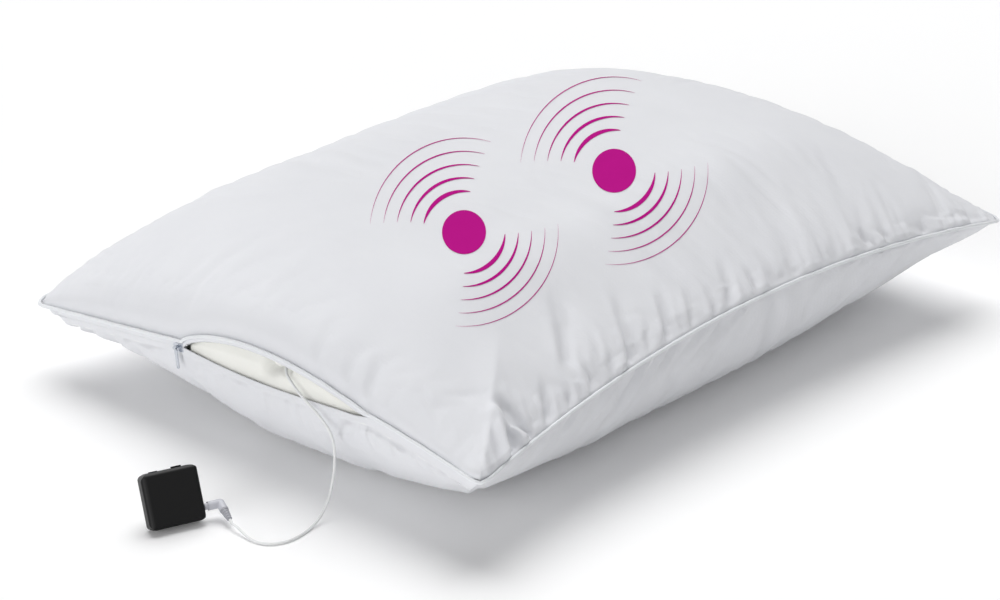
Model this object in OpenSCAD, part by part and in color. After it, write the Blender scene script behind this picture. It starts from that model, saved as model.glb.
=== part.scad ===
// Zipped pillow with speakers inside, a thin lead, and a small clip receiver
// Millimetres. X runs along the pillow from the zip end, Y across it, Z up.
// The origin is on the floor under the middle of the pillow.

/* [Pillow cover] */
// Length of the stuffed pillow from tip to tip
pillow_length = 640; // [600:1:680]
// Width of the stuffed pillow from tip to tip
pillow_width = 492; // [470:1:520]
// Rise of the crown above the side seam
crown = 90; // [78:1:100]
// How far each long side draws in at its middle
side_pinch = 20; // [12:1:28]
// Height of the seam at the corner beside the closed end of the zip
z_left = 57; // [52:1:62]
// Height of the seam at the corner nearest the open end of the zip
z_front = 66; // [61:1:71]
// Height of the seam at the far front corner
z_right = 73; // [68:1:78]
// Height of the seam at the far back corner
z_back = 64; // [59:1:69]
// Rise of the seam at the middle of the long sides
side_rise = 25.5; // [20:0.5:31]
// Rise of the seam at the middle of the far end
end_rise = 21.5; // [16:0.5:26]
// Inset of the resting patch from the ends
foot_in_x = 74; // [66:1:84]
// Inset of the resting patch from the long sides
foot_in_y = 95; // [86:1:106]
// Thickness of the cotton cover
cover_t = 1.2; // [0.8:0.1:1.5]
// Radius of the corded piping
piping_r = 1.6; // [1.3:0.1:1.7]
// Height of the gathers above the front seam
pucker_h = 2.6; // [0:0.2:4]

/* [Zip] */
// Place of the slider across the width
slider_y = 71; // [60:1:85]
// Height of the seam above the slider
z_slider = 79; // [76:1:82]
// How far short of the closed corner the zip stops
zip_short = 26; // [22:1:30]
// Length of the gaping mouth
mouth_length = 200; // [170:1:215]
// How far the upper lip lifts
lip_lift = 13; // [8:0.5:16]
// How far the lower lip sags
lip_sag = 10.5; // [7:0.5:13]
// Extra rise of the zip seam between slider and corner
end_swell = 15.5; // [11:0.5:18]
// Width of tape that shows beside each row
tape_w = 3; // [2.6:0.1:3.4]
// Thickness of the tape
tape_t = 0.8; // [0.6:0.1:1]
// Height of one tooth across the chain
tooth_h = 1.4; // [1.2:0.1:1.5]
// Depth of one tooth through the chain
tooth_d = 2; // [1.8:0.1:2.2]
// Spacing of the teeth along the chain
tooth_pitch = 4; // [3.6:0.1:5]
// Running gap between the two rows
row_gap = 1.4; // [1.3:0.1:1.7]
// Length of the slider
slider_len = 10; // [9:0.5:11]
// Length of the pull tab
pull_len = 17; // [14:1:20]

/* [Inner pillow] */
// Inset of the inner pillow from the cover
tick_in = 9; // [8:0.5:11]
// Thickness of the ticking
tick_t = 1.2; // [0.8:0.1:1.5]
// Middle of the speaker pad along the length
pad_x = -55; // [-65:1:-45]
// Middle of the speaker pad across the width
pad_y = -62; // [-72:1:-52]
// Length of the speaker pad
pad_l = 320; // [310:1:330]
// Width of the speaker pad
pad_w = 160; // [150:1:170]
// Thickness of the speaker pad
pad_t = 12; // [11:0.5:13]
// Inset of each speaker's middle from the end of the pad
speaker_in = 72.5; // [70:0.5:75]
// Radius of one speaker
speaker_r = 30; // [27:0.5:31]

/* [Lead] */
// Radius of the lead
cord_r = 1.1; // [0.9:0.1:1.2]
// Height at which the lead leaves the inner pillow
exit_z = 92.5; // [91:0.5:93.5]
// Place across the width where the lead leaves the inner pillow
exit_y = -44; // [-48:1:-40]
// Radius of one speaker wire
wire_r = 0.8; // [0.6:0.1:1]

/* [Receiver] */
// Width of the receiver
recv_w = 44; // [42:0.5:46]
// Height of the receiver
recv_h = 42; // [41:0.5:44]
// Depth of the receiver
recv_d = 14; // [13.5:0.5:15]
// Depth of its front shell
front_d = 9; // [8.8:0.1:9.4]
// Angle at which it leans back
recv_lean = 25; // [20:1:28]
// Turn of the receiver about the vertical
recv_turn = -20; // [-24:1:-16]
// Corner radius seen from the front
recv_corner = 5.5; // [5:0.25:6]
// Rounding of the front edges
recv_round = 4; // [3.5:0.25:4.25]
// Wall of both shells
shell_t = 1.6; // [1.4:0.1:1.7]
// Height of the jack above the foot
jack_z = 9; // [8.5:0.1:9.5]
// Depth of the jack behind the face
jack_y = 5.4; // [5.2:0.1:5.6]

/* [Print] */
// Radius of the filled disc
disc_r = 17.4; // [15:0.2:18]
// Radius of the smallest arc
arc_first = 32.4; // [30:0.2:34]
// Step from one arc to the next
arc_step = 10.7; // [10:0.1:11]
// Width of the smallest arc at its middle
arc_width = 3.4; // [2.4:0.1:4]

/* [Hidden] */

half_l = pillow_length / 2;
half_w = pillow_width / 2;
clear = 0.3;
snug = 0.1;

// Shape of the crown towards each side: exponent inside the bracket, exponent outside it
crown_zip = [3.5, 0.45];
crown_far = [3.5, 0.56];
crown_front = [1.8, 0.73];
crown_back = [2.5, 0.53];
foot_square = 5;

// Lower panel at each corner, from the closed zip corner on: how near the corner the ear begins,
// how it rises to the seam, and how far it pulls the resting patch in
ear_reach = [1.66, 3, 2, 2.5];
ear_rise = [0.6, 1.8, 1.3, 1.3];
ear_pull = [0.4, 0.1, 0.04, 0.05];

// Waves of the gathers, and the stretch of seam where they are strongest
pucker_long = 62;
pucker_short = 41;
pucker_x = -190;
pucker_reach = 130;
pucker_in = 14;

// Zip stack below the seam line
tape_top = clear;
row_snug = 0.2;
upper_row = tape_top + tape_w + row_snug + tooth_h / 2;
chain_drop = upper_row + (tooth_h + row_gap) / 2;
lower_row = chain_drop + (tooth_h + row_gap) / 2;
lower_tape = lower_row + tooth_h / 2 + row_snug;
panel_drop = lower_tape + tape_w + clear;
edge_drop = 1.2;
corner_turn = 12;
straight_end = slider_y - slider_len / 2 - 0.5;
chain_x = -half_l + tape_t / 2;
chain_start = half_w - corner_turn - zip_short;
chain_end = half_w - corner_turn;
stop_len = 2.4;
stop_in = 0.8 + stop_len / 2;
teeth_in = stop_in + stop_len / 2 + 2;
chain_fall = atan((z_slider - z_left) / (half_w - slider_y));

// Line of sight along which the print reads as true circles
sight_turn = 47.2;
sight_fall = 24;

function clamp(v, lo, hi) = min(max(v, lo), hi);
function mix(a, b, k) = a + (b - a) * k;
function smooth(k) = let (c = clamp(k, 0, 1)) c * c * (3 - 2 * c);
function fade(k, start) = pow(clamp((k - start) / (1 - start), 0, 1), 2);
function unit(v) = v / norm(v);
function last(list) = list[len(list) - 1];

// Height of the zip seam: straight beside the closed chain, swollen beside the mouth
function end_line(y) =
    let (slope = (z_slider - z_left) / (half_w - slider_y),
         top = z_slider + slope * (slider_y - straight_end),
         v = (straight_end - y) / (straight_end + half_w))
    y >= straight_end ? z_slider + slope * (slider_y - y)
                      : mix(top, z_front, v) + end_swell * sin(180 * v);
function mouth_run(y) = clamp((straight_end - y) / mouth_length, 0, 1);
function lip_up(y) = lip_lift * sin(180 * pow(mouth_run(y), 0.66));
function lip_down(y) = lip_sag * sin(180 * pow(mouth_run(y), 0.95));

// Height of the side seam, carried smoothly across the whole plan
function corner_level(s, t) =
    (z_front * (1 - s) * (1 - t) + z_right * (1 + s) * (1 - t)
     + z_left * (1 - s) * (1 + t) + z_back * (1 + s) * (1 + t)) / 4;
function seam_level(s, t) =
    corner_level(s, t) + side_rise * (1 - s * s) * t * t + end_rise * (1 - t * t) * s * s
    + (end_line(t * half_w) - corner_level(-1, t) - end_rise * (1 - t * t)) * fade(-s, 0.55);
function arch(k, shape) = pow(max(1 - pow(abs(k), shape[0]), 0), shape[1]);
function swell(s, t) = arch(s, s < 0 ? crown_zip : crown_far) * arch(t, t < 0 ? crown_front : crown_back);

// Gathers above the front seam, strongest near the front corner
function gather_wave(x) =
    (sin(360 * x / pucker_long) + 0.6 * sin(360 * x / pucker_short + 50))
    * (0.35 + 0.65 * exp(-pow((x - pucker_x) / pucker_reach, 2)));
function gather(s, t) =
    let (d = (1 + t) * half_w / pucker_in, near_end = min(1, (1 - abs(s)) * half_l / pucker_in))
    t > -0.6 ? 0 : pucker_h * d * exp(1 - d) * near_end * gather_wave(s * half_l);
function cover_z(s, t, drop) =
    seam_level(s, t) + lip_up(t * half_w) * fade(-s, 0.8) + (crown - drop) * swell(s, t) + gather(s, t);
function inner_z(s, t, drop) = seam_level(s, t) + (crown - drop) * swell(s, t);

// Plan of the pillow: q walks round the four sides, one unit a side, from the closed zip corner
function edge_s(q) = q < 1 ? -1 : q < 2 ? 2 * q - 3 : q < 3 ? 1 : 7 - 2 * q;
function edge_t(q) = q < 1 ? 1 - 2 * q : q < 2 ? -1 : q < 3 ? 2 * q - 5 : 1;
function plan(s, t, inset) = [s * (half_l - inset), t * (half_w - inset - side_pinch * (1 - s * s))];
function walk(counts) = [for (i = [0:len(counts) - 1]) for (j = [0:counts[i] - 1]) 4 - len(counts) + i + j / counts[i]];
tick_walk = walk([16, 16, 8, 12]);

// Stations down the zip end, shared by the panels, the tapes and the teeth
closed_steps = 7;
open_steps = 20;
end_ys = concat([for (i = [0:closed_steps - 1]) mix(chain_start, straight_end, i / closed_steps)],
    [for (i = [0:open_steps]) mix(straight_end, -chain_end, pow(i / open_steps, 1.15))]);
corner_y = half_w - corner_turn / 2;
plain_end = half_w - zip_short;
plain_ys = [half_w, corner_y, mix(corner_y, plain_end, 0.5), plain_end, mix(plain_end, chain_start, 0.5)];
cover_walk = concat([for (y = concat(plain_ys, end_ys, [-corner_y])) (half_w - y) / pillow_width],
    walk([44, 14, 20]));
upper_levels = [for (y = end_ys) end_line(y) + lip_up(y)];
lower_levels = [for (y = end_ys) end_line(y) - lip_down(y)];
function station(y, i) = i >= len(end_ys) - 2 || y > end_ys[i + 1] ? i : station(y, i + 1);
function level(y, levels) =
    let (i = station(y, 0)) mix(levels[i], levels[i + 1], (end_ys[i] - y) / (end_ys[i] - end_ys[i + 1]));

function top_ring(stations, rho, inset, drop, cover) =
    [for (q = stations) let (s = rho * edge_s(q), t = rho * edge_t(q), p = plan(s, t, inset))
        [p[0], p[1], cover ? cover_z(s, t, drop) : inner_z(s, t, drop)]];
function panel_edge(q) =
    let (y = edge_t(q) * half_w, turn = smooth(min(plain_end - y, half_w + y) / corner_turn))
    q < 1 ? end_line(y) - mix(edge_drop, panel_drop, turn) - lip_down(y)
          : seam_level(edge_s(q), edge_t(q)) - edge_drop;
function corner_of(s, t) = s < 0 ? (t > 0 ? 0 : 1) : (t < 0 ? 2 : 3);
function under_ring(stations, f, inset, floor_z, cover) =
    [for (q = stations)
        let (s = edge_s(q), t = edge_t(q), b = plan(s, t, inset),
             n = pow(pow(abs(s), foot_square) + pow(abs(t), foot_square), 1 / foot_square),
             i = corner_of(s, t), ear = pow(abs(s * t), ear_reach[i]), k = (1 - ear_pull[i] * ear) / n,
             c = [(half_l - foot_in_x) * s * k, (half_w - foot_in_y) * t * k],
             top = cover ? panel_edge(q) : seam_level(s, t),
             rise = mix(1 - sqrt(1 - f * f), pow(f, ear_rise[i]), ear))
        [mix(c[0], b[0], f), mix(c[1], b[1], f), mix(floor_z, top, rise)]];

// Closed skin through rings of equal count, shut by a pole or by a flat face at each end
module skin(rings, pole_a, pole_b) {
    n = len(rings[0]);
    m = len(rings);
    body = [for (ring = rings) each ring];
    poles = concat(is_undef(pole_a) ? [] : [pole_a], is_undef(pole_b) ? [] : [pole_b]);
    a = m * n;
    b = is_undef(pole_a) ? a : a + 1;
    bands = [for (i = [0:m - 2]) for (j = [0:n - 1])
        let (k = (j + 1) % n, p = i * n + j, q = i * n + k, r = p + n, t = q + n)
        each [[p, q, t], [p, t, r]]];
    first = is_undef(pole_a) ? [[for (j = [n - 1:-1:0]) j]] : [for (j = [0:n - 1]) [a, (j + 1) % n, j]];
    final = is_undef(pole_b) ? [[for (j = [0:n - 1]) (m - 1) * n + j]]
                             : [for (j = [0:n - 1]) [b, (m - 1) * n + j, (m - 1) * n + (j + 1) % n]];
    polyhedron(points = concat(body, poles), faces = concat(bands, first, final), convexity = 6);
}

top_steps = [1, 0.985, 0.955, 0.9, 0.8, 0.66, 0.48, 0.26];
under_steps = [0, 0.2, 0.45, 0.72, 0.88, 0.97, 1];
tick_top_steps = [0.985, 0.94, 0.82, 0.62, 0.36];
function reverse(list) = [for (i = [len(list) - 1:-1:0]) list[i]];

module cover_top_panel() {
    outer = [for (rho = reverse(top_steps)) top_ring(cover_walk, rho, 0, 0, true)];
    inner = [for (rho = top_steps) top_ring(cover_walk, rho, cover_t, cover_t, true)];
    color("whitesmoke")
        skin(concat(outer, inner), [0, 0, cover_z(0, 0, 0)], [0, 0, cover_z(0, 0, cover_t)]);
}

module cover_bottom_panel() {
    outer = [for (f = under_steps) under_ring(cover_walk, f, 0, 0, true)];
    inner = [for (f = reverse(under_steps)) under_ring(cover_walk, f, cover_t, cover_t, true)];
    color("gainsboro") skin(reverse(concat(outer, inner)));
}

// A tube through rings, closed on itself or shut at both ends
module tube(path, radius, sides, looped) {
    n = len(path);
    rings = [for (i = [0:n - 1])
        let (before = looped ? path[(i + n - 1) % n] : path[max(i - 1, 0)],
             after = looped ? path[(i + 1) % n] : path[min(i + 1, n - 1)],
             ahead = unit(after - before),
             side = unit(cross(ahead, abs(ahead[2]) > 0.9 ? [1, 0, 0] : [0, 0, 1])),
             up = cross(side, ahead))
        [for (k = [0:sides - 1])
            path[i] + radius * (cos(360 * k / sides) * side + sin(360 * k / sides) * up)]];
    if (looped) loop_skin(rings);
    else skin(rings);
}
module loop_skin(rings) {
    n = len(rings[0]);
    m = len(rings);
    faces = [for (i = [0:m - 1]) for (j = [0:n - 1])
        let (k = (j + 1) % n, h = (i + 1) % m, p = i * n + j, q = i * n + k, r = h * n + j, t = h * n + k)
        each [[p, q, t], [p, t, r]]];
    polyhedron(points = [for (ring = rings) each ring], faces = faces, convexity = 6);
}

module cover_piping() {
    out = -(piping_r + clear + 0.05);
    path = [for (q = cover_walk) let (s = edge_s(q), t = edge_t(q), p = plan(s, t, out))
        [p[0], p[1], cover_z(s, t, 0)]];
    color("white") tube(path, piping_r, 6, true);
}

// Zip: each tape is a strip that follows its own lip
module lip_strip(levels, drop) {
    rings = [for (i = [0:len(end_ys) - 1])
        [for (c = [[-1, 0], [1, 0], [1, -1], [-1, -1]])
            [chain_x + c[0] * tape_t / 2, end_ys[i], levels[i] - drop + c[1] * tape_w]]];
    skin(rings);
}
module zip_tape_upper() {
    color("white") lip_strip(upper_levels, tape_top);
}
module zip_tape_lower() {
    color("white") lip_strip(lower_levels, lower_tape);
}

// One tooth every pitch, turned to follow its lip
teeth_start = chain_start - teeth_in;
tooth_count = floor((teeth_start + chain_end - teeth_in) / tooth_pitch);
function tooth_y(i) = teeth_start - i * tooth_pitch;
module teeth(levels, drop) {
    for (i = [0:tooth_count])
        let (y = tooth_y(i), rise = level(y + 0.5, levels) - level(y - 0.5, levels))
            translate([chain_x, y, level(y, levels) - drop]) rotate([atan(rise), 0, 0])
                cube([tooth_d, tooth_pitch * 0.45, tooth_h], center = true);
}
module zip_teeth_upper() {
    color("lavender") teeth(upper_levels, upper_row);
}
module zip_teeth_lower() {
    color("lavender") teeth(lower_levels, lower_row);
}
stop_h = row_gap + 2 * tooth_h;
module zip_end_stop() {
    y = chain_start - stop_in;
    color("silver") translate([chain_x, y, end_line(y) - chain_drop]) rotate([-chain_fall, 0, 0])
        cube([tooth_d + 0.4, stop_len, stop_h], center = true);
}
module zip_open_stops() {
    y = stop_in - chain_end;
    for (row = [upper_row, lower_row])
        color("silver") translate([chain_x, y, end_line(y) - row])
            cube([tooth_d + 0.4, stop_len, tooth_h], center = true);
}

// Slider in its own frame: Y along the closed chain towards the end stop, -X out of the cover
plate_t = 1;
slider_half = chain_drop - piping_r - 0.6;
plate_x = tooth_d / 2 + 0.4;
flange_h = 0.6;
post_t = row_gap / 2;
bar_r = 0.6;
bar_x = plate_x + plate_t + 2.2;
bar_len = 6.4;
leg_l = 1.2;
module at_slider() {
    translate([chain_x, slider_y, end_line(slider_y) - chain_drop]) rotate([-chain_fall, 0, 0]) children();
}
module slider_plate() {
    nose = slider_len * 0.3;
    w = slider_half;
    rotate([0, 90, 0]) linear_extrude(height = plate_t, center = true)
        polygon([[-w, -slider_len / 2], [w, -slider_len / 2], [w, slider_len / 2 - nose],
            [w * 0.72, slider_len / 2], [-w * 0.72, slider_len / 2], [-w, slider_len / 2 - nose]]);
}
module zip_slider() {
    w = slider_half;
    color("silver") at_slider() {
        for (side = [-1, 1]) {
            translate([side * (plate_x + plate_t / 2), 0, 0]) slider_plate();
            for (edge = [-1, 1])
                translate([side * (plate_x - 0.25), -slider_len * 0.15, edge * (w - flange_h / 2)])
                    cube([0.5, slider_len * 0.7, flange_h], center = true);
        }
        translate([0, -slider_len / 2 + 1.1, 0]) cube([2 * plate_x, 2.2, post_t], center = true);
        for (end = [-1, 1])
            translate([-(plate_x + plate_t + bar_x) / 2, end * (bar_len - leg_l) / 2, 0])
                cube([bar_x - plate_x - plate_t + 2 * bar_r, leg_l, 2 * bar_r], center = true);
        translate([-bar_x, 0, 0]) rotate([90, 0, 0])
            cylinder(r = bar_r, h = bar_len - 2 * leg_l, center = true, $fn = 32);
    }
}
eye_r = 1.6;
eye_len = 3;
tab_t = 1;
tab_w = 2.8;
module zip_pull() {
    color("gainsboro") at_slider() translate([-bar_x, 0, 0]) difference() {
        union() {
            rotate([90, 0, 0]) cylinder(r = eye_r, h = eye_len, center = true, $fn = 40);
            translate([-tab_t / 2, -tab_w / 2, -pull_len + tab_w / 2])
                cube([tab_t, tab_w, pull_len - tab_w / 2 - bar_r]);
            translate([0, 0, -pull_len + tab_w / 2]) rotate([0, 90, 0])
                cylinder(r = tab_w / 2, h = tab_t, center = true, $fn = 40);
        }
        rotate([90, 0, 0]) cylinder(r = bar_r + clear, h = eye_len + 1, center = true, $fn = 40);
        translate([0, 0, -pull_len + tab_w / 2]) rotate([0, 90, 0])
            cylinder(r = 0.7, h = tab_t + 1, center = true, $fn = 24);
    }
}

// Inner pillow: a shut bag of ticking round one mass of fibre
tick_floor = cover_t + 4 * clear;
tick_drop = cover_t + 5 * clear;
fill_gap = 2 * clear;
fill_in = tick_in + tick_t + fill_gap;
module bag(stations, unders, tops, inset, floor_z, drop) {
    under = [for (f = unders) under_ring(stations, f, inset, floor_z, false)];
    over = [for (rho = tops) top_ring(stations, rho, inset, drop, false)];
    skin(reverse(concat(under, over)), [0, 0, inner_z(0, 0, drop)]);
}
grommet_r = 4;
grommet_x = -half_l + tick_in - 2;
grommet_l = 7;
module inner_ticking() {
    color("ivory") difference() {
        bag(tick_walk, under_steps, tick_top_steps, tick_in, tick_floor, tick_drop);
        bag(tick_walk, under_steps, tick_top_steps, tick_in + tick_t, tick_floor + tick_t,
            tick_drop + tick_t);
        translate([grommet_x - 5, exit_y, exit_z]) rotate([0, 90, 0])
            cylinder(r = grommet_r - 1, h = 20, $fn = 40);
    }
}
pad_top = exit_z + 3;
pad_bottom = pad_top - pad_t;
pad_left = pad_x - pad_l / 2;
module fibre_fill() {
    color("mintcream") difference() {
        bag(tick_walk, under_steps, tick_top_steps, fill_in, tick_floor + tick_t + fill_gap,
            tick_drop + tick_t + fill_gap);
        translate([pad_left - clear, pad_y - pad_w / 2 - clear, pad_bottom - clear])
            cube([pad_l + 2 * clear, pad_w + 2 * clear, pad_t + 2 * clear]);
        translate([-half_l, exit_y - grommet_r - 1, exit_z - grommet_r - 1])
            cube([half_l + pad_left + 1, 2 * grommet_r + 2, 2 * grommet_r + 2]);
    }
}

// Speaker pad: a foam board with two wells and wire grooves
well_gap = 0.3;
speaker_h = pad_t - 1;
left_x = pad_left + speaker_in;
right_x = pad_left + pad_l - speaker_in;
splice_r = 2.6;
splice_l = 12;
splice_x = pad_left + splice_l + 2;
wire_out_y = pad_y + speaker_r + 7;
terminal_y = pad_y + speaker_r;
wire_left_pts = [[splice_x, exit_y - 1.5], [splice_x + 18, exit_y - 1.5], [splice_x + 18, wire_out_y - 4],
    [left_x, wire_out_y - 4], [left_x, terminal_y + snug]];
wire_right_pts = [[splice_x, exit_y + 1.5], [splice_x + 14, exit_y + 1.5], [splice_x + 14, wire_out_y],
    [right_x, wire_out_y], [right_x, terminal_y + snug]];
module groove(points) {
    half = wire_r + 0.7;
    for (i = [0:len(points) - 2])
        let (p = points[i], q = points[i + 1], x0 = min(p[0], q[0]), x1 = max(p[0], q[0]),
             y0 = min(p[1], q[1]), y1 = max(p[1], q[1]))
            translate([x0 - half, y0 - half, exit_z - half])
                cube([x1 - x0 + 2 * half, y1 - y0 + 2 * half, pad_t]);
}
module speaker_pad() {
    color("lightgrey") difference() {
        translate([pad_left, pad_y - pad_w / 2, pad_bottom]) cube([pad_l, pad_w, pad_t]);
        for (x = [left_x, right_x])
            translate([x, pad_y, pad_bottom + 1 - well_gap]) cylinder(r = speaker_r + well_gap, h = pad_t, $fn = 72);
        groove(wire_left_pts);
        groove(wire_right_pts);
        translate([pad_left - 1, exit_y - splice_r - 0.4, exit_z - splice_r - 0.3])
            cube([splice_l + 4.5, 2 * splice_r + 0.8, pad_t]);
    }
}
basket_t = 1.6;
magnet_r = 13;
magnet_h = 4;
module speaker_basket(x) {
    translate([x, pad_y, pad_bottom + 1]) difference() {
        cylinder(r = speaker_r, h = speaker_h - well_gap, $fn = 72);
        translate([0, 0, basket_t]) cylinder(r = speaker_r - basket_t, h = speaker_h, $fn = 72);
        for (a = [45:90:315])
            rotate([0, 0, a]) translate([(speaker_r + magnet_r) / 2, 0, -1])
                cylinder(r = 4.5, h = basket_t + 2, $fn = 32);
    }
}
module speaker_magnet(x) {
    translate([x, pad_y, pad_bottom + 1 + basket_t]) cylinder(r = magnet_r, h = magnet_h, $fn = 48);
}
module speaker_cone(x) {
    base = pad_bottom + 1 + basket_t + magnet_h;
    rim = pad_top - well_gap - 0.8;
    translate([x, pad_y, 0]) rotate_extrude($fn = 72)
        polygon([[0, base + snug], [5, base + snug], [speaker_r - 6, rim - 0.8], [speaker_r - basket_t - 0.2, rim - 0.8],
            [speaker_r - basket_t - 0.2, rim], [speaker_r - 6.4, rim], [4.6, base + snug + 0.8], [0, base + snug + 0.8]]);
}
module speaker_basket_left() { color("dimgray") speaker_basket(left_x); }
module speaker_basket_right() { color("dimgray") speaker_basket(right_x); }
module speaker_magnet_left() { color("slategray") speaker_magnet(left_x); }
module speaker_magnet_right() { color("slategray") speaker_magnet(right_x); }
module speaker_cone_left() { color("black") speaker_cone(left_x); }
module speaker_cone_right() { color("black") speaker_cone(right_x); }

// Wires laid in the grooves, as straight runs with round bends
module wire(points) {
    for (i = [0:len(points) - 2])
        let (p = points[i], q = points[i + 1], d = q - p, run = norm(d))
            translate([p[0], p[1], exit_z]) rotate([0, 90, atan2(d[1], d[0])])
                cylinder(r = wire_r, h = run, $fn = 24);
    for (i = [1:len(points) - 2])
        translate([points[i][0], points[i][1], exit_z]) sphere(r = wire_r, $fn = 24);
}
module speaker_wire_left() { color("white") wire(wire_left_pts); }
module speaker_wire_right() { color("white") wire(wire_right_pts); }
module wire_splice() {
    color("black") translate([splice_x - splice_l - snug, exit_y, exit_z]) rotate([0, 90, 0])
        cylinder(r = splice_r, h = splice_l, $fn = 40);
}
lead_end = splice_x - splice_l - 2 * snug;
module cord_lead_in() {
    color("white") translate([grommet_x, exit_y, exit_z]) rotate([0, 90, 0])
        cylinder(r = cord_r, h = lead_end - grommet_x, $fn = 24);
}
module cord_grommet() {
    color("white") translate([grommet_x, exit_y, exit_z]) rotate([0, 90, 0]) difference() {
        union() {
            cylinder(r = grommet_r - 1.3, h = grommet_l, $fn = 40);
            translate([0, 0, 0]) cylinder(r = grommet_r - 0.2, h = 1.2, $fn = 40);
        }
        translate([0, 0, -1]) cylinder(r = cord_r + snug, h = grommet_l + 2, $fn = 32);
    }
}

// Receiver in its own frame: X to its right, Y to its back, Z up its face
foot_r = 1.5;
recv_x = -451.8;
recv_y = -42.6;
recv_lift = (recv_d - foot_r) * sin(recv_lean) - foot_r * cos(recv_lean) + foot_r;
module at_receiver() {
    translate([recv_x, recv_y, recv_lift]) rotate([-recv_lean, 0, recv_turn]) children();
}
function from_receiver(p) =
    let (y1 = p[1] * cos(recv_lean) + p[2] * sin(recv_lean),
         z1 = p[2] * cos(recv_lean) - p[1] * sin(recv_lean))
    [recv_x + p[0] * cos(recv_turn) - y1 * sin(recv_turn),
     recv_y + p[0] * sin(recv_turn) + y1 * cos(recv_turn), recv_lift + z1];

// Plug: collar, elbow, then a ribbed tail that hangs towards the front
elbow_x = recv_w + 13;
elbow_r = 3.4;
tail_turn = 130;
tail_start = 8;
tail_end = 19;
tail_dir = [0, -sin(tail_turn), cos(tail_turn)];
function on_tail(run) = from_receiver([elbow_x, jack_y, jack_z] + run * tail_dir);

// Lead: chosen points from the grommet over the lower lip, down to the floor and up to the plug
cord_lie = cord_r + 0.1;
cord_route = [[-313, -44, 92.5], [-317, -45.5, 91.8], [-321, -50.5, 88.5], [-323.5, -60, 83.5],
    [-325, -72, 77.5], [-326, -86, 71], [-326.5, -98, 63], [-327.5, -105, 53.5], [-330, -108.5, 43],
    [-333, -110, 31], [-337, -111, 20.5], [-342.5, -112.5, 12.5], [-350, -114, 6], [-359, -116, 2.4],
    [-368.5, -118, 1.3], [-378, -119.5, 1.2], [-387, -119.3, 1.2], [-394.5, -117, 1.2], [-400.5, -112.8, 1.2],
    [-404.2, -107, 1.2], [-405.6, -100.5, 1.3], [-405.4, -94, 2], [-404.6, -87.5, 3.2], [-403.4, -81, 4.4]];
function curve_point(a, b, c, d, k) =
    0.5 * (2 * b + (c - a) * k + (2 * a - 5 * b + 4 * c - d) * k * k + (3 * b - a - 3 * c + d) * k * k * k);
function soften(p, steps) =
    let (n = len(p))
    [for (i = [0:n - 2]) for (j = [0:steps - 1])
        curve_point(p[max(i - 1, 0)], p[i], p[i + 1], p[min(i + 2, n - 1)], j / steps), last(p)];
module audio_cord() {
    start = [grommet_x, exit_y, exit_z];
    shift = start - cord_route[0];
    ends = [on_tail(tail_end + 5), on_tail(tail_end + 2.5), on_tail(tail_end + snug)];
    first = [start - [snug, 0, 0], start - [2, 0, 0]];
    body = [for (i = [1:len(cord_route) - 1]) cord_route[i] + shift * max(1 - i / 4, 0)];
    color("whitesmoke") tube(concat([first[0]], soften(concat([first[1]], body, ends), 2)), cord_r, 8, false);
}
module plug_contact() {
    color("silver") at_receiver() translate([recv_w - 13, jack_y, jack_z]) rotate([0, 90, 0])
        rotate_extrude($fn = 40)
            polygon([[0, 0], [0.8, 0.3], [1.6, 1.6], [1.15, 2.6], [1.72, 3.4], [1.72, 13.2 + snug], [0, 13.2 + snug]]);
}
module plug_body() {
    color("lavender") at_receiver() translate([elbow_x, jack_y, jack_z]) {
        translate([recv_w + 0.3 + snug - elbow_x, 0, 0]) rotate([0, 90, 0]) cylinder(r = 2.5, h = 3, $fn = 40);
        translate([recv_w + 3.2 - elbow_x, 0, 0]) rotate([0, 90, 0])
            cylinder(r = elbow_r, h = elbow_x - recv_w - 3.2, $fn = 48);
        sphere(r = elbow_r, $fn = 48);
        rotate([tail_turn, 0, 0]) cylinder(r = elbow_r, h = tail_start, $fn = 48);
    }
}
rib_count = 5;
module plug_strain_relief() {
    pitch = (tail_end - tail_start - snug) / rib_count;
    color("lightgrey") at_receiver() translate([elbow_x, jack_y, jack_z]) rotate([tail_turn, 0, 0])
        rotate_extrude($fn = 40) polygon(concat([[0, tail_start + snug]],
            [for (i = [0:rib_count - 1]) let (z = tail_start + snug + i * pitch, r = mix(3.1, 1.9, i / rib_count))
                each [[r, z], [r, z + pitch * 0.55], [r - 0.55, z + pitch * 0.6], [r - 0.55, z + pitch * 0.98]]],
            [[0, tail_end]]));
}

// Rounded square outline, and a profile rounded on one side only
module rounded(w, h, r) {
    translate([r, 0]) square([w - 2 * r, h]);
    translate([0, r]) square([w, h - 2 * r]);
    for (x = [r, w - r]) for (y = [r, h - r]) translate([x, y]) circle(r = r, $fn = 64);
}
module soft_edge(w, d, r) {
    translate([r, 0]) square([w - 2 * r, d]);
    translate([0, r]) square([w, d - r]);
    for (x = [r, w - r]) translate([x, r]) circle(r = r, $fn = 64);
}
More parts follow.
